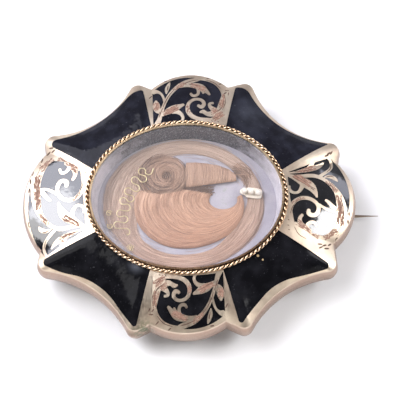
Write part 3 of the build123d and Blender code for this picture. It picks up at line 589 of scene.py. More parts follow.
# Twisted wire
def rope():
    """two round strands twisted together round the oval"""
    angles = np.linspace(0, 2 * pi, 4001)
    fine = oval(0, 0, OVAL_A, OVAL_B, angles, 0)
    lengths = np.concatenate([[0], np.cumsum(np.linalg.norm(np.diff(fine, axis=0), axis=1))])
    half_turns = 2 * round(lengths[-1] / (2 * BEAD_PITCH))
    steps = half_turns * ROPE_STEPS
    share = np.arange(steps) / steps
    angle = np.interp(share * lengths[-1], lengths, angles)
    out = oval(0, 0, OVAL_B, OVAL_A, angle, 0)
    out /= np.linalg.norm(out, axis=1)[:, None]
    place = oval(OVAL_X, OVAL_Y, OVAL_A, OVAL_B, angle, ROPE_Z)
    heap = Heap()
    for side in (0, 1):
        twist = pi * (half_turns * share + side)
        reach = ROPE_RADIUS / 2
        path = place + reach * np.cos(twist)[:, None] * out
        path[:, 2] += reach * np.sin(twist)
        tube(heap, path, reach * 0.99, sides=ROPE_SIDES, closed=True)
        # Each point's distance from the wire's middle line is kept as its place across, for the painted
        # shade where the strands meet
        gap = np.linalg.norm(heap.points[-1] - np.repeat(place, ROPE_SIDES, axis=0), axis=1)
        heap.marks[-1][:, 1] = gap / ROPE_RADIUS
    made = heap.piece("Twisted_wire", GOLD_ROPE)
    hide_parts("rope_border")


rope()


# Hair
# Where the border strays inwards: the middle and breadth of each place in degrees, and how far
BORDER_STRAYS = (
    (180, 34, 1.75), (158, 16, 0.6), (332, 28, 0.65), (128, 22, 0.45),
)


def border_reach(angle):
    """how far the border's inner edge strays towards the middle, in band widths"""
    total = 0
    for middle, breadth, most in BORDER_STRAYS:
        gap = (np.degrees(angle) - middle + 180) % 360 - 180
        total = total + most * np.exp(-(gap / breadth) ** 2)
    return -total


def border_point(angle, share, height):
    """a point of the hair border from the angle and the share of its band"""
    return oval(RING_X, RING_Y, RING_A + RING_BAND * share, RING_B + RING_BAND * share, angle, height)


def border_rise(step, share):
    """how much of its full height the border has, from its edges to its middle"""
    swell = np.sqrt(np.clip(1 - np.abs(2 * np.clip(step, 0, 1) - 1) ** 4, 0, 1))
    return swell * np.clip(0.45 + share, 0.15, 1)


def hair_border():
    """hair laid flat round the well, straying inwards on the left, with loose strands on it"""
    heap = Heap()
    turns, columns = 240, 24
    angle = np.linspace(0, 2 * pi, turns, endpoint=False)[:, None]
    step = np.linspace(0, 1, columns)[None, :]
    inner = border_reach(angle)
    share = inner + (1 - inner) * step
    height = border_rise(step, share)
    ripple = 0.03 * np.sin(share * 37 + 2 * np.sin(angle * 3)) + 0.02 * np.sin(share * 61 + angle)
    grid = border_point(angle + 0 * share, share, HAIR_Z + (RING_HEIGHT - 0.08) * height + ripple * height)
    sheet(heap, grid, spread(angle * 9.5, share * RING_BAND), closed=True)
    for number in range(HAIRS["border"]):
        start = uniform(0, 2 * pi)
        span = uniform(0.7, 2.2)
        lane = uniform(-0.03, 1.03)
        drift = uniform(-0.16, 0.16)
        t = np.linspace(0, 1, int(14 + span * 16))
        way = start + span * t
        step = np.clip(lane + drift * (t - 0.5) + 0.02 * np.sin(way * 5 + number), -0.08, 1.06)
        inner = border_reach(way)
        place = inner + (1 - inner) * step
        rise = (RING_HEIGHT - 0.08) * border_rise(step, place)
        level = HAIR_Z + 0.03 + rise + 0.03 * np.sin(way * 3 + number)
        strand(heap, border_point(way, place, level), taper(t, 0.028, 0.02))
    for number in range(HAIRS["border_loose"]):
        start = choice((uniform(1.9, 3.4), uniform(0, 6.2)))
        t = np.linspace(0, 1, 16)
        way = start + uniform(0.3, 0.9) * t
        lane = choice((uniform(-0.5, 0.0), uniform(0.95, 1.15)))
        place = lane + uniform(-0.2, 0.2) * t
        level = HAIR_Z + 0.04 + 0.03 * np.sin(way * 4 + number)
        strand(heap, border_point(way, place, level), 0.02)
    made = heap.piece("Hair_border", HAIR_RING)
    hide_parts("hair_ring")


def lock_start(share):
    """the angle where each strand of the lock comes out from under the roll and the whorl"""
    return np.radians(LOCK_START + LOCK_SHIFT * share)


def lock_point(angle, share):
    """a point of the broad lock: strands sweep round the pale patch towards the binding"""
    turn = np.clip((angle - radians(LOCK_FOOT)) / radians(LOCK_END - LOCK_FOOT), 0, 1)
    left = 1.8 + 4.9 * share
    right = 2.0 + 6.1 * share
    reach = np.where(angle < radians(LOCK_FOOT), left, right)
    x = 4.5 - 5.2 * share + reach * np.cos(angle)
    y = 0.6 - 0.8 * share + (1.3 + 4.7 * share) * np.sin(angle)
    close = 1 - 0.4 * turn
    bulge = np.clip(1 - (2 * share - 1) ** 2, 0, 1) ** 0.62
    start = np.clip((angle - lock_start(share)) / radians(LOCK_SHIFT), 0, 1) ** 0.5
    z = HAIR_Z + 0.06 + 0.84 * bulge * start * close
    return np.stack([x + 0 * z, y + 0 * z, z], axis=-1)


def broad_lock():
    """the broad lock: a swelling form under many single strands"""
    heap = Heap()
    share = np.linspace(0, 1, 48)[None, :]
    first = lock_start(share)
    angle = first + np.linspace(0, 1, 104)[:, None] * (radians(LOCK_END) - first)
    grid = lock_point(angle, share + 0 * angle)
    grid[:, :, 2] += 0.02 * np.sin(share * 90 + 3 * np.sin(angle * 2)) + 0.02 * np.sin(share * 47 - angle)
    sheet(heap, grid, spread(angle * 6, share * 6))
    for number in range(HAIRS["lock"]):
        lane = random()
        start = lock_start(lane) + radians(uniform(-4, 55))
        end = radians(uniform(290, 375))
        t = np.linspace(0, 1, 34)
        way = start + (end - start) * t
        drift = uniform(-0.1, 0.1)
        place = np.clip(lane + drift * (t - 0.5) + 0.006 * np.sin(7 * t + number), 0, 1)
        path = lock_point(way, place)
        path[:, 2] += 0.02 + 0.03 * np.sin(4 * t + number * 1.7)
        strand(heap, path, taper(t, 0.03))
    made = heap.piece("Hair_broad_lock", HAIR_LOCK)
    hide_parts("hair_lock")


def whorl():
    """the whorl: strands wound round a dark middle"""
    heap = Heap()

    def top(radius):
        inside = np.clip((radius - WHORL_RING) / WHORL_HALF, -1, 1)
        return HAIR_Z + WHORL_LIFT + (WHORL_RISE + 0.01) * np.sqrt(np.clip(1 - inside ** 2, 0, 1))

    angle = np.linspace(0, 2 * pi, 96, endpoint=False)[:, None]
    section = np.linspace(-0.15, pi + 0.15, 28)[None, :]
    radius = WHORL_RING + WHORL_HALF * np.cos(section)
    level = HAIR_Z + WHORL_LIFT + WHORL_RISE * np.sin(section)
    grid = oval(WHORL_X, WHORL_Y, radius, radius, angle, level)
    sheet(heap, grid, spread(angle * 3, section * 1.1), closed=True)
    for number in range(HAIRS["whorl"]):
        radius = uniform(0.75, 2.72)
        start = uniform(0, 2 * pi)
        span = uniform(1.6, 4.6)
        t = np.linspace(0, 1, int(12 + span * 6))
        way = start + span * t
        reach = radius + uniform(-0.1, 0.38) * span * (0.5 - t) + 0.05 * np.sin(3 * way + number)
        reach = np.clip(reach, WHORL_HOLE, 2.78)
        aside = uniform(-0.3, 0.2), uniform(-0.2, 0.2)
        level = top(reach) + 0.02 + 0.05 * np.sin(2 * way + number)
        path = oval(WHORL_X + aside[0], WHORL_Y + aside[1], reach, reach, way, level)
        strand(heap, path, taper(t, 0.032), number % 9 == 0)
    for number in range(HAIRS["whorl_stray"]):
        radius = triangular(1.4, 4.0, 2.4)
        start = uniform(1.3, 4.4)
        t = np.linspace(0, 1, 26)
        way = start + uniform(0.8, 2.6) * t
        reach = radius + uniform(-0.5, 0.5) * t + 0.06 * np.sin(3 * way + number)
        middle = WHORL_X - uniform(0.1, 0.7)
        level = HAIR_Z + 0.1 + 0.75 * np.clip(3.4 - reach, 0, 1) + 0.05 * np.sin(3 * way + number)
        path = oval(middle, WHORL_Y + uniform(-0.3, 0.4), reach, 0.92 * reach, way, level)
        strand(heap, path, taper(t, 0.026), number % 3 == 0)
    # Strands across the whorl's middle: the low ones are painted dark as shade; every fifth lies high and
    # keeps its own tone
    crossing = [(-3.75, 4.75), (-3.3, 4.5), (-2.95, 4.0), (-2.85, 3.4), (-3.0, 2.9)]
    for number in range(HAIRS["whorl_crossing"]):
        shift = (number - HAIRS["whorl_crossing"] / 2) * 0.045
        rise, in_painted_shade = (0.74, 0) if number % 5 == 0 else (0.12, SHADOWED)
        path = smooth_line([(x + shift, y + shift * 0.4, HAIR_Z + rise) for x, y in crossing], 0.12)
        tube(heap, path, 0.03, sides=4, mark=in_painted_shade + number * 3.3, mark_width=0.05)
    made = heap.piece("Hair_whorl", HAIR_ROLL)
    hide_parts("hair_whorl")


# The barrel roll from left to right: its middle, half its breadth and half its thickness
ROLL = [
    (-0.45, 4.1, 1.75, 0.42), (0.8, 4.15, 1.72, 0.44), (2.2, 4.2, 1.55, 0.44), (4.1, 4.15, 1.25, 0.4),
    (5.4, 4.0, 0.9, 0.32), (6.35, 3.65, 0.4, 0.24),
]


def roll_point(share, angle):
    """a point of the barrel roll from the share of its length and the angle round it"""
    table = np.array(ROLL)
    at = share * (len(table) - 1)
    x, y, breadth, thick = [np.interp(at, np.arange(len(table)), table[:, column]) for column in range(4)]
    return np.stack([x, y + breadth * np.cos(angle), HAIR_Z + thick + thick * np.sin(angle)], axis=-1)


def bowed(start, end, bow, t, level):
    """a hair from one place to another, bowed aside"""
    swell = np.sin(pi * t)
    return np.stack([start[0] + (end[0] - start[0]) * t + bow[0] * swell,
                     start[1] + (end[1] - start[1]) * t + bow[1] * swell, level], axis=1)


def barrel_roll():
    """the roll: hair wrapped crosswise, and the loose ends beyond it"""
    heap = Heap()
    share = np.linspace(0, 1, 110)[:, None]
    angle = np.linspace(-0.3, pi + 0.3, 24)[None, :]
    lean = 0.012 * np.cos(angle * 2)
    grid = roll_point(np.clip(share + lean, 0, 1), angle + 0 * share)
    sheet(heap, grid, spread(angle * 1.6, share * 7.2))
    for number in range(HAIRS["roll"]):
        place = uniform(0.0, 0.99)
        first = uniform(-0.35, 0.5)
        last = pi + uniform(-0.6, 0.35)
        t = np.linspace(0, 1, 18)
        way = first + (last - first) * t
        slant = uniform(-0.02, 0.02)
        share = np.clip(place + 0.03 * np.sin(pi * t) + slant * t, 0, 1)
        path = roll_point(share, way)
        path[:, 2] += 0.02 + 0.01 * np.sin(number)
        strand(heap, path, taper(t, 0.032, 0.04, 0.3))
    # Strands in the gap under the roll, all painted dark as the roll's shade
    for number in range(HAIRS["under_roll"]):
        t = np.linspace(0, 1, 18)
        start = (uniform(-2.6, 0.8), uniform(1.5, 3.0))
        end = (uniform(1.2, 3.6), uniform(1.3, 2.7))
        sag = uniform(-0.3, 0.2)
        level = HAIR_Z + 0.12 + 0.3 * np.sin(pi * t) * random()
        strand(heap, bowed(start, end, (0, sag), t, level), 0.028, True)
    for number in range(HAIRS["roll_end"]):
        t = np.linspace(0, 1, 16)
        start = (uniform(5.7, 7.0), uniform(3.9, 5.9))
        end = (uniform(7.1, 8.4), uniform(2.3, 3.6))
        bend = uniform(0.3, 1.1)
        level = HAIR_Z + 0.11 + 0.25 * np.sin(pi * t + number % 3)
        strand(heap, bowed(start, end, (bend, 0.4 * bend), t, level), 0.026, number % 2 == 1)
    made = heap.piece("Hair_roll", HAIR_ROLL)
    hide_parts("hair_roll")


hair_border()
broad_lock()
whorl()
barrel_roll()


# Pearls and fine wire
PEARLS = {
    "pearl_1": (7.449, 1.641),
    "pearl_2": (8.352, 1.501),
    "pearl_3": (9.254, 1.361),
}
PEARL_Z = 6.26
PEARL_RADIUS = 0.43
LEAN = atan2(-0.28, 1.805)

# The binding's half length and half breadth, and its rings: how much each grows, and its height
BINDING_HALF = (1.5, 0.72)
BINDING_RINGS = (
    (0.0, 5.56), (0.0, 5.72), (-0.06, 5.79), (-0.18, 5.81), (-0.45, 5.81),
)
BINDING_CORNERS = 64
BINDING_POWER = 0.45


def binding():
    """the cream binding: a low block with rounded ends and edges"""
    heap = Heap()
    centre = PEARLS["pearl_2"]
    corners = np.linspace(0, 2 * pi, BINDING_CORNERS, endpoint=False)
    grid = []
    for grow, height in BINDING_RINGS:
        half, deep = BINDING_HALF[0] + grow, BINDING_HALF[1] + grow
        x = half * np.sign(np.cos(corners)) * np.abs(np.cos(corners)) ** BINDING_POWER
        y = deep * np.sign(np.sin(corners)) * np.abs(np.sin(corners)) ** BINDING_POWER
        y = y * np.interp(x, (-1.5, -0.75, -0.5), (0.5, 0.66, 1.0))
        x, y = x * cos(LEAN) - y * sin(LEAN), x * sin(LEAN) + y * cos(LEAN)
        grid.append(np.stack([centre[0] + x, centre[1] + y, np.full(BINDING_CORNERS, height)], axis=1))
    grid = np.transpose(np.array(grid), (1, 0, 2))
    sheet(heap, grid, grid[:, :, :2], closed=True)
    first = grid[:, -1]
    heap.add(first, [tuple(range(BINDING_CORNERS))], first[:, :2])
    made = heap.piece("Pearl_binding", IVORY)
    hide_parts("pearl_binding")


def pearls():
    """three small pearls, each a little uneven"""
    for name, (x, y) in PEARLS.items():
        heap = Heap()
        ball(heap, (x, y, PEARL_Z), PEARL_RADIUS, rough=0.05)
        made = heap.piece(name.capitalize() + "_bead", PEARL)
        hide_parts(name)


# Middles of the loops of the serpentine wire
LOOPS = [
    (-4.33, 4.76), (-5.41, 4.47), (-6.31, 4.47), (-6.17, 3.42), (-7.25, 3.24), (-7.11, 2.1),
    (-8.15, 1.67), (-7.83, 0.62), (-8.78, 0.29), (-8.33, -0.66), (-9.18, -1.48), (-8.64, -2.33),
    (-9.54, -3.1), (-8.37, -4.1), (-8.1, -4.8),
]
LOOP_RADIUS = 0.48
CURL_RADIUS = 0.42
FLOWER = (-7.83, -6.16)
PETALS = 5
PETAL_REACH = 0.3
PETAL_RADIUS = 0.16


def serpentine():
    """gold wire in alternate loops over the left of the hair"""
    middles = [np.array(middle) for middle in LOOPS]
    leave, join = [], []
    for number, (here, there) in enumerate(zip(middles, middles[1:])):
        gap = there - here
        turn = acos(min(1.0, 2 * LOOP_RADIUS / np.linalg.norm(gap)))
        angle = atan2(gap[1], gap[0]) + (turn if number % 2 else -turn)
        arm = LOOP_RADIUS * np.array([cos(angle), sin(angle)])
        leave.append(here + arm)
        join.append(there - arm)
    places = [leave[0], join[0]]
    for number in range(1, len(leave)):
        centre = middles[number]
        first = join[number - 1] - centre
        last = leave[number] - centre
        start = atan2(first[1], first[0])
        end = atan2(last[1], last[0])
        sign = -1 if number % 2 else 1
        turn = sign * ((sign * (end - start)) % (2 * pi))
        for share in np.linspace(0, 1, 17)[1:]:
            way = start + turn * share
            places.append(centre + LOOP_RADIUS * np.array([cos(way), sin(way)]))
        places.append(join[number])
    flat = np.array(places)
    level = WIRE_Z + 0.02 * np.sin(np.arange(len(flat)) * 0.7)
    path = smooth_line(np.column_stack([flat, level]), 0.09)
    heap = Heap()
    wobble = 1 + 0.1 * np.sin(np.arange(len(path)) * 2.1)
    tube(heap, path, WIRE_RADIUS * 0.75 * wobble, sides=8, caps=True)
    made = heap.piece("Serpentine_wire", GOLD_TRIM)
    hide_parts("gold_wire")


def spiral_curl(name, node, centre, turns, start):
    """a small spiral of the same wire with a bead inside"""
    heap = Heap()
    t = np.linspace(0, 1, 60)
    way = start + turns * 2 * pi * t
    reach = CURL_RADIUS * (1 - 0.68 * t)
    path = oval(*centre, reach, reach, way, CURL_Z)
    tube(heap, path, WIRE_RADIUS * (0.68 - 0.12 * t), sides=8, caps=True)
    ball(heap, (centre[0] + 0.06, centre[1], CURL_Z), 0.075)
    made = heap.piece(name, GOLD_CURL)
    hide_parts(node)


def flower():
    """a small flower of wire loops round a bead"""
    heap = Heap()
    x, y = FLOWER
    for number in range(PETALS):
        way = 2 * pi * number / PETALS + 0.3
        cx, cy = x + PETAL_REACH * cos(way), y + PETAL_REACH * sin(way)
        around = np.linspace(0, 2 * pi, 20, endpoint=False)
        path = oval(cx, cy, PETAL_RADIUS, PETAL_RADIUS, around, CURL_Z + 0.02 * np.sin(around))
        tube(heap, path, 0.045, sides=7, closed=True)
    ball(heap, (x, y, CURL_Z + 0.02), 0.1)
    made = heap.piece("Wire_flower", GOLD_CURL)
    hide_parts("gold_knot")


binding()
pearls()
serpentine()
spiral_curl("Wire_curl_1", "gold_curl_1", (-10.72, -1.3), 1.35, 0.4)
spiral_curl("Wire_curl_2", "gold_curl_2", (-10.54, -3.08), 1.25, 2.6)
flower()


# Engraving on the lobes
# Each lobe's drawing is measured across and out from the oval, as in the model; the lower and the
# left lobe have it turned half round. A drawing's own half breadth and length come first, then each
# lobe's drawing, its turn, its half breadth, and how far out its root and its crest lie.
SIZES = {
    "upright": (5.17, 7.95),
    "level": (5.72, 8.98),
}
LOBES = {
    "north": ("upright", 1, 5.18, 10.6, 18.54),
    "east": ("level", 1, 5.71, 13.06, 22.08),
    "south": ("upright", -1, 5.01, 10.4, 18.04),
    "west": ("level", -1, 6.86, 13.56, 22.08),
}

# Lines cut into the gold: points across and out, and the width in millimetres
UPRIGHT_LINES = [
    ([(-3.45, 2.6), (-3.1, 3.6), (-2.6, 4.6), (-1.9, 5.55)], 0.09),
    ([(-1.0, 6.3), (0.1, 6.8), (1.2, 7.1)], 0.1), ([(-1.75, 5.3), (-1.5, 5.55)], 0.12),
    ([(0.0, 6.3), (0.8, 6.25), (1.5, 6.0)], 0.16), ([(0.3, 5.3), (0.9, 4.85), (1.2, 4.8)], 0.1),
    ([(0.3, 4.7), (0.42, 4.66)], 0.16), ([(0.1, 2.6), (0.4, 1.5), (1.1, 0.8), (2.0, 0.5)], 0.12),
    ([(0.3, 3.4), (1.2, 3.65), (1.5, 3.3)], 0.1),
    ([(4.55, 4.6), (4.7, 3.4), (4.3, 2.3), (3.3, 1.5)], 0.12),
    ([(4.8, 4.7), (4.95, 3.4), (4.5, 2.1)], 0.08), ([(2.2, 7.15), (3.4, 6.7), (4.3, 5.75)], 0.09),
    ([(1.8, 1.75), (1.95, 1.75)], 0.17), ([(-3.2, 1.4), (-2.4, 1.9), (-1.5, 2.4)], 0.12),
    ([(-3.9, 1.9), (-3.87, 1.6), (-3.85, 1.2)], 0.1), ([(-4.25, 2.2), (-4.35, 3.0)], 0.1),
    ([(-2.95, 5.3), (-2.8, 6.2)], 0.12), ([(-4.0, 1.0), (-3.8, 1.6), (-3.5, 2.5)], 0.08),
    ([(3.2, 0.7), (3.9, 1.0), (4.5, 1.7)], 0.1), ([(3.05, 0.5), (3.25, 0.25)], 0.1),
    ([(3.85, 0.4), (4.1, 0.2)], 0.1),
]
LEVEL_LINES = [
    ([(3.4, 0.4), (3.3, 2.4), (3.35, 3.9), (3.0, 4.9)], 0.08),
    ([(3.7, 1.1), (3.95, 2.4), (4.3, 3.6)], 0.13), ([(3.3, 1.0), (2.6, 2.1), (2.0, 2.95)], 0.16),
    ([(2.9, 0.9), (2.1, 2.4), (1.4, 3.9)], 0.1), ([(1.6, 3.2), (1.2, 3.74)], 0.1),
    ([(3.3, 5.34), (3.5, 5.9), (3.4, 6.4)], 0.12), ([(4.0, 5.4), (4.7, 5.95), (5.5, 5.95)], 0.08),
    ([(2.3, 5.54), (2.05, 5.9), (1.9, 6.2)], 0.1), ([(1.8, 7.24), (0.9, 7.7), (-0.2, 8.0)], 0.12),
    ([(0.5, 6.9), (-0.5, 7.2), (-2.2, 7.0), (-3.4, 6.5)], 0.14),
    ([(0.3, 7.35), (-1.2, 7.65), (-3.0, 7.4), (-4.2, 6.8)], 0.08), ([(-1.2, 7.6), (-1.5, 7.7)], 0.13),
    ([(-2.1, 7.6), (-2.4, 7.65)], 0.13), ([(-3.0, 7.5), (-3.2, 7.6)], 0.13),
    ([(3.9, 7.2), (3.5, 7.6)], 0.13), ([(-4.5, 6.9), (-4.7, 6.8)], 0.13),
    ([(-0.6, 5.34), (-0.35, 5.5), (-0.1, 5.74)], 0.1), ([(-1.0, 5.54), (-1.3, 5.84)], 0.1),
    ([(-1.8, 0.74), (-0.8, 1.24), (-0.3, 2.24), (-0.4, 3.24)], 0.15),
    ([(-2.2, 0.5), (-1.2, 0.85), (-0.2, 1.6)], 0.09), ([(-0.5, 3.54), (-1.0, 4.0), (-1.7, 4.05)], 0.1),
    ([(-1.9, 3.5), (-2.1, 3.1), (-1.9, 2.95)], 0.16), ([(-3.1, 2.04), (-3.5, 2.4), (-3.9, 2.94)], 0.1),
    ([(-3.7, 3.14), (-4.1, 3.5), (-4.6, 3.94)], 0.1),
    ([(-3.2, 1.34), (-4.2, 2.4), (-4.9, 3.6), (-5.1, 4.7)], 0.11),
    ([(-4.0, 1.0), (-5.0, 1.6), (-5.6, 2.6)], 0.09), ([(-3.05, 0.14), (-3.15, 0.4)], 0.11),
    ([(-3.8, 0.1), (-3.9, 0.35)], 0.11), ([(-4.4, 0.2), (-4.5, 0.45)], 0.11),
]

# Nicks along the outer borders: place across and out, and the way each leans, in degrees
UPRIGHT_NICKS = [
    (-5.2, 4.4, 60), (-4.85, 2.1, 70), (5.15, 5.5, 0), (4.9, 5.0, 40), (5.35, 4.9, 70), (-4.7, 3.4, 80),
    (-4.5, 5.6, 30), (-3.2, 7.0, 0), (-1.3, 7.35, -10), (0.4, 7.55, 5), (2.6, 7.45, 20), (4.3, 6.6, 45),
]
LEVEL_NICKS = [
    (-0.5, 8.35, 0), (-1.6, 8.35, 5), (-2.7, 8.2, 10), (-3.7, 7.9, 20), (1.2, 8.4, -5), (2.4, 8.3, -10),
    (3.4, 7.95, -20), (4.6, 7.3, -35), (-6.1, 4.4, 80), (-6.55, 4.5, 70), (-6.2, 5.0, 60),
    (-6.6, 5.3, 85), (-6.0, 5.7, 50), (-5.7, 6.2, 10), (6.5, 5.45, 60), (6.85, 5.75, 40), (7.0, 6.1, 20),
    (-5.2, 6.6, 30),
]

# Shaded hollows of the leaves: a line of short parallel cuts from one point to another, how
# long they are and the way they run
UPRIGHT_SHADES = [
    ((-3.3, 1.5), (-1.5, 2.55), 0.62, 25), ((0.3, 6.15), (2.2, 5.45), 0.5, -20),
    ((4.5, 4.7), (4.35, 2.6), 0.42, -75), ((3.9, 2.3), (2.9, 1.7), 0.4, -30),
    ((-4.35, 2.2), (-4.4, 3.3), 0.5, 80), ((3.3, 0.7), (4.6, 1.6), 0.55, 40),
    ((-2.1, 5.5), (-0.6, 6.6), 0.35, 40), ((-0.05, 2.9), (0.0, 1.6), 0.32, 85),
]
LEVEL_SHADES = [
    ((3.3, 1.2), (2.0, 3.2), 0.75, 120), ((3.8, 1.6), (4.5, 3.9), 0.5, 75),
    ((0.7, 7.0), (-3.2, 7.2), 0.62, 185), ((-4.0, 6.7), (-5.1, 5.0), 0.5, 235),
    ((-3.4, 1.5), (-5.0, 4.2), 0.6, 120), ((2.7, 5.5), (1.2, 6.6), 0.45, 140),
    ((-1.0, 0.8), (0.0, 2.4), 0.32, 60),
]

# The lines, nicks and shaded hollows of each drawing, and the width of its nicks
DRAWINGS = {
    "upright": (UPRIGHT_LINES, UPRIGHT_NICKS, UPRIGHT_SHADES, 0.17),
    "level": (LEVEL_LINES, LEVEL_NICKS, LEVEL_SHADES, 0.23),
}

# The face is looked for from above, and no deeper than the lower of these two heights
FACE_ABOVE = 12
FACE_LOW = 5.2

# Cut lines: how far edge, middle and edge stand off, and how much wider they come out; the steps
# along them, half a nick's length, and how far a nick's lean may be off in degrees
CUT_RISE = (0.004, 0.012, 0.004)
LINE_GROWTH = (1.15, 1.5)
LINE_STEP = 0.12
NICK_STEP = 0.08
NICK_REACH = (0.24, 0.36)
NICK_SWAY = 15

# The leaf shading: how far apart its cuts start, how many lanes, how far aside, how wide, the
# steps along them, and how far their lean may be off in degrees
SHADE_GAP = 0.17
SHADE_LANES = 7
SHADE_ASIDE = 0.42
SHADE_WIDTH = 0.1
SHADE_STEP = 0.1
SHADE_SWAY = 8


def face_tree():
    """the gold and enamel surfaces, to lay the cut lines on, and which of their faces are gold"""
    points, faces, golden = [], [], []
    for name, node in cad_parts.items():
        if name == "case" or name.startswith("enamel"):
            base = len(points)
            points.extend([vertex.co.copy() for vertex in node.data.vertices])
            faces.extend([[corner + base for corner in face.vertices] for face in node.data.polygons])
            golden.extend([name == "case"] * len(node.data.polygons))
    return BVHTree.FromPolygons(points, faces), golden


TREE, GOLDEN = face_tree()


def on_lobe(lobe, across, out):
    """a point of a lobe's drawing in the frame"""
    drawing, turn, half, root, crest = lobe
    size, length = SIZES[drawing]
    side = across * half / size
    along = root + out * (crest - root) / length
    if drawing == "upright":
        return (turn * side, turn * along)
    return (turn * along, turn * side)


def face_height(x, y):
    """height of the gold face under a point, or None beside it or over enamel"""
    hit = TREE.ray_cast(Vector((x * MM, y * MM, FACE_ABOVE * MM)), Vector((0, 0, -1)))
    if hit[0] is None or hit[0].z < FACE_LOW * MM or not GOLDEN[hit[2]]:
        return None
    return hit[0].z / MM


def cut(heap, lobe, points, step, width):
    """a thin ribbon laid on the face through points of a lobe's drawing, pointed at both ends"""
    line = smooth_line([on_lobe(lobe, *point) for point in points], step)
    run = np.gradient(line, axis=0)
    run /= np.linalg.norm(run, axis=1)[:, None] + 1e-12
    across = np.stack([-run[:, 1], run[:, 0]], axis=1)
    t = np.linspace(0, 1, len(line))
    reach = width / 2 * (0.25 + 0.75 * np.sin(pi * t) ** 0.5)
    rows = []
    for place, way, half in zip(line, across, reach):
        row = []
        for side, rise in zip((-1, 0, 1), CUT_RISE):
            x, y = place + way * half * side
            height = face_height(x, y)
            if height is None:
                return
            row.append((x, y, height + rise))
        rows.append(row)
    grid = np.array(rows)
    sheet(heap, grid, grid[:, :, :2])


def stroke(heap, lobe, middle, reach, way, step, width):
    """a short straight cut through a point of a lobe's drawing"""
    x, y = reach * cos(way), reach * sin(way)
    ends = [(middle[0] + side * x, middle[1] + side * y) for side in (-1, 1)]
    cut(heap, lobe, ends, step, width)


def engrave(name):
    """dark cut lines and nicks of one lobe, and the rose shading of its leaves"""
    lobe = LOBES[name]
    lines, nicks, shades, nick_width = DRAWINGS[lobe[0]]
    dark = Heap()
    for points, width in lines:
        cut(dark, lobe, points, LINE_STEP, width * uniform(*LINE_GROWTH))
    for across, out, lean in nicks:
        way = radians(lean + uniform(-NICK_SWAY, NICK_SWAY))
        stroke(dark, lobe, (across, out), uniform(*NICK_REACH), way, NICK_STEP, nick_width)
    rose = Heap()
    for first, last, length, lean in shades:
        gap = dist(first, last)
        count = int(gap / SHADE_GAP) + 1
        run = ((last[0] - first[0]) / gap, (last[1] - first[1]) / gap)
        for number in range(SHADE_LANES * (count + 1)):
            share = number % (count + 1) / count
            aside = uniform(-SHADE_ASIDE, SHADE_ASIDE)
            middle = (first[0] + run[0] * gap * share - run[1] * aside,
                      first[1] + run[1] * gap * share + run[0] * aside)
            way = radians(lean + uniform(-SHADE_SWAY, SHADE_SWAY))
            reach = length / 2 * uniform(0.7, 1.1) * (0.6 + 0.4 * sin(pi * share))
            stroke(rose, lobe, middle, reach, way, SHADE_STEP, SHADE_WIDTH)
    dark.piece("Cut_lines_" + name, DARK_LINE)
    rose.piece("Leaf_shading_" + name, ROSE_LINE)


for lobe_name in LOBES:
    engrave(lobe_name)


# Floor, light, camera
def floor():
    """a broad pale floor under the brooch's feet"""
    shape = bmesh.new()
    bmesh.ops.create_grid(shape, x_segments=24, y_segments=24, size=FLOOR_REACH)
    mesh = bpy.data.meshes.new("Floor")
    shape.to_mesh(mesh)
    shape.free()
    mesh.materials.append(floor_look())
    made = placed("Floor", mesh)
    made.location = (0, 0, FLOOR_Z * MM)


def softbox(name, direction, distance, width, height, radiance, colour, shape="ELLIPSE"):
    """an area light that faces the brooch"""
    data = bpy.data.lights.new(name, "AREA")
    data.shape = shape
    data.size = width
    data.size_y = height
    data.energy = radiance * pi * width * height
    data.color = colour
    made = placed(name, data)
    way = Vector(direction).normalized()
    made.location = way * distance
    made.rotation_euler = way.to_track_quat("Z", "Y").to_euler()


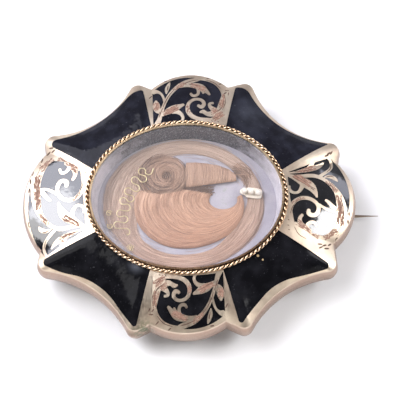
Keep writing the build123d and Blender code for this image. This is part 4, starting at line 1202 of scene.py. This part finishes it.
def studio():
    """plain soft light: two boxes on either side, a low one in front and a sky brighter behind"""
    softbox("Left_box", (-0.58, 0.08, 0.8), 0.5, 0.34, 0.36, 4.2, (1.0, 0.99, 1.0))
    softbox("Left_high_box", (-0.52, 0.4, 0.75), 0.5, 0.4, 0.42, 3.8, (0.88, 0.89, 1.0))
    softbox("Right_box", (0.68, 0.02, 0.75), 0.5, 0.24, 0.2, 9.0, (1.0, 0.99, 1.0))
    softbox("Right_high_box", (0.66, 0.48, 0.58), 0.5, 0.2, 0.1, 2.5, (0.86, 0.87, 1.0))
    softbox("Front_box", (0.0, -0.9, 0.42), 0.6, 1.5, 0.3, 1.8, (1.0, 0.97, 0.94), "RECTANGLE")
    world = bpy.data.worlds.new("Studio")
    world.use_nodes = True
    nodes = world.node_tree.nodes
    links = world.node_tree.links
    way = nodes.new("ShaderNodeTexCoord")
    part = nodes.new("ShaderNodeSeparateXYZ")
    links.new(way.outputs["Generated"], part.inputs[0])
    shade = nodes.new("ShaderNodeValToRGB")
    first, last = shade.color_ramp.elements
    first.position, first.color = 0.0, (0.05, 0.05, 0.06, 1)
    last.position, last.color = 0.85, (0.44, 0.44, 0.49, 1)
    links.new(part.outputs["Y"], shade.inputs["Fac"])
    links.new(shade.outputs["Color"], nodes["Background"].inputs["Color"])
    bpy.context.scene.world = world
    bpy.context.scene.view_settings.view_transform = "Standard"


# The camera's tilt towards the lower edge and its lean to the right, in degrees, and its aim:
# right and up from the middle of the picture, at the height of the face
CAMERA_TILT = 19
CAMERA_LEAN = 1
CAMERA_AIM = (1.49, 0.52)
CAMERA_AIM_Z = 5.6
CAMERA_DISTANCE = 0.4
CAMERA_LENS = 268.2


def camera():
    """tilted back from straight above, towards the lower edge"""
    tilt, lean = radians(CAMERA_TILT), radians(CAMERA_LEAN)
    back = Vector((sin(lean) * cos(tilt), -sin(tilt), cos(lean) * cos(tilt)))
    right = Vector((0, 1, 0)).cross(back).normalized()
    up = back.cross(right)
    target = Vector((0, 0, CAMERA_AIM_Z * MM)) + right * CAMERA_AIM[0] * MM + up * CAMERA_AIM[1] * MM
    data = bpy.data.cameras.new("Camera")
    data.lens = CAMERA_LENS
    data.sensor_width = 36
    data.clip_start = 0.01
    data.clip_end = 10
    made = placed("Camera", data)
    made.location = target + back * CAMERA_DISTANCE
    made.rotation_euler = Matrix((right, up, back)).transposed().to_euler()
    bpy.context.scene.camera = made


floor()
studio()
camera()
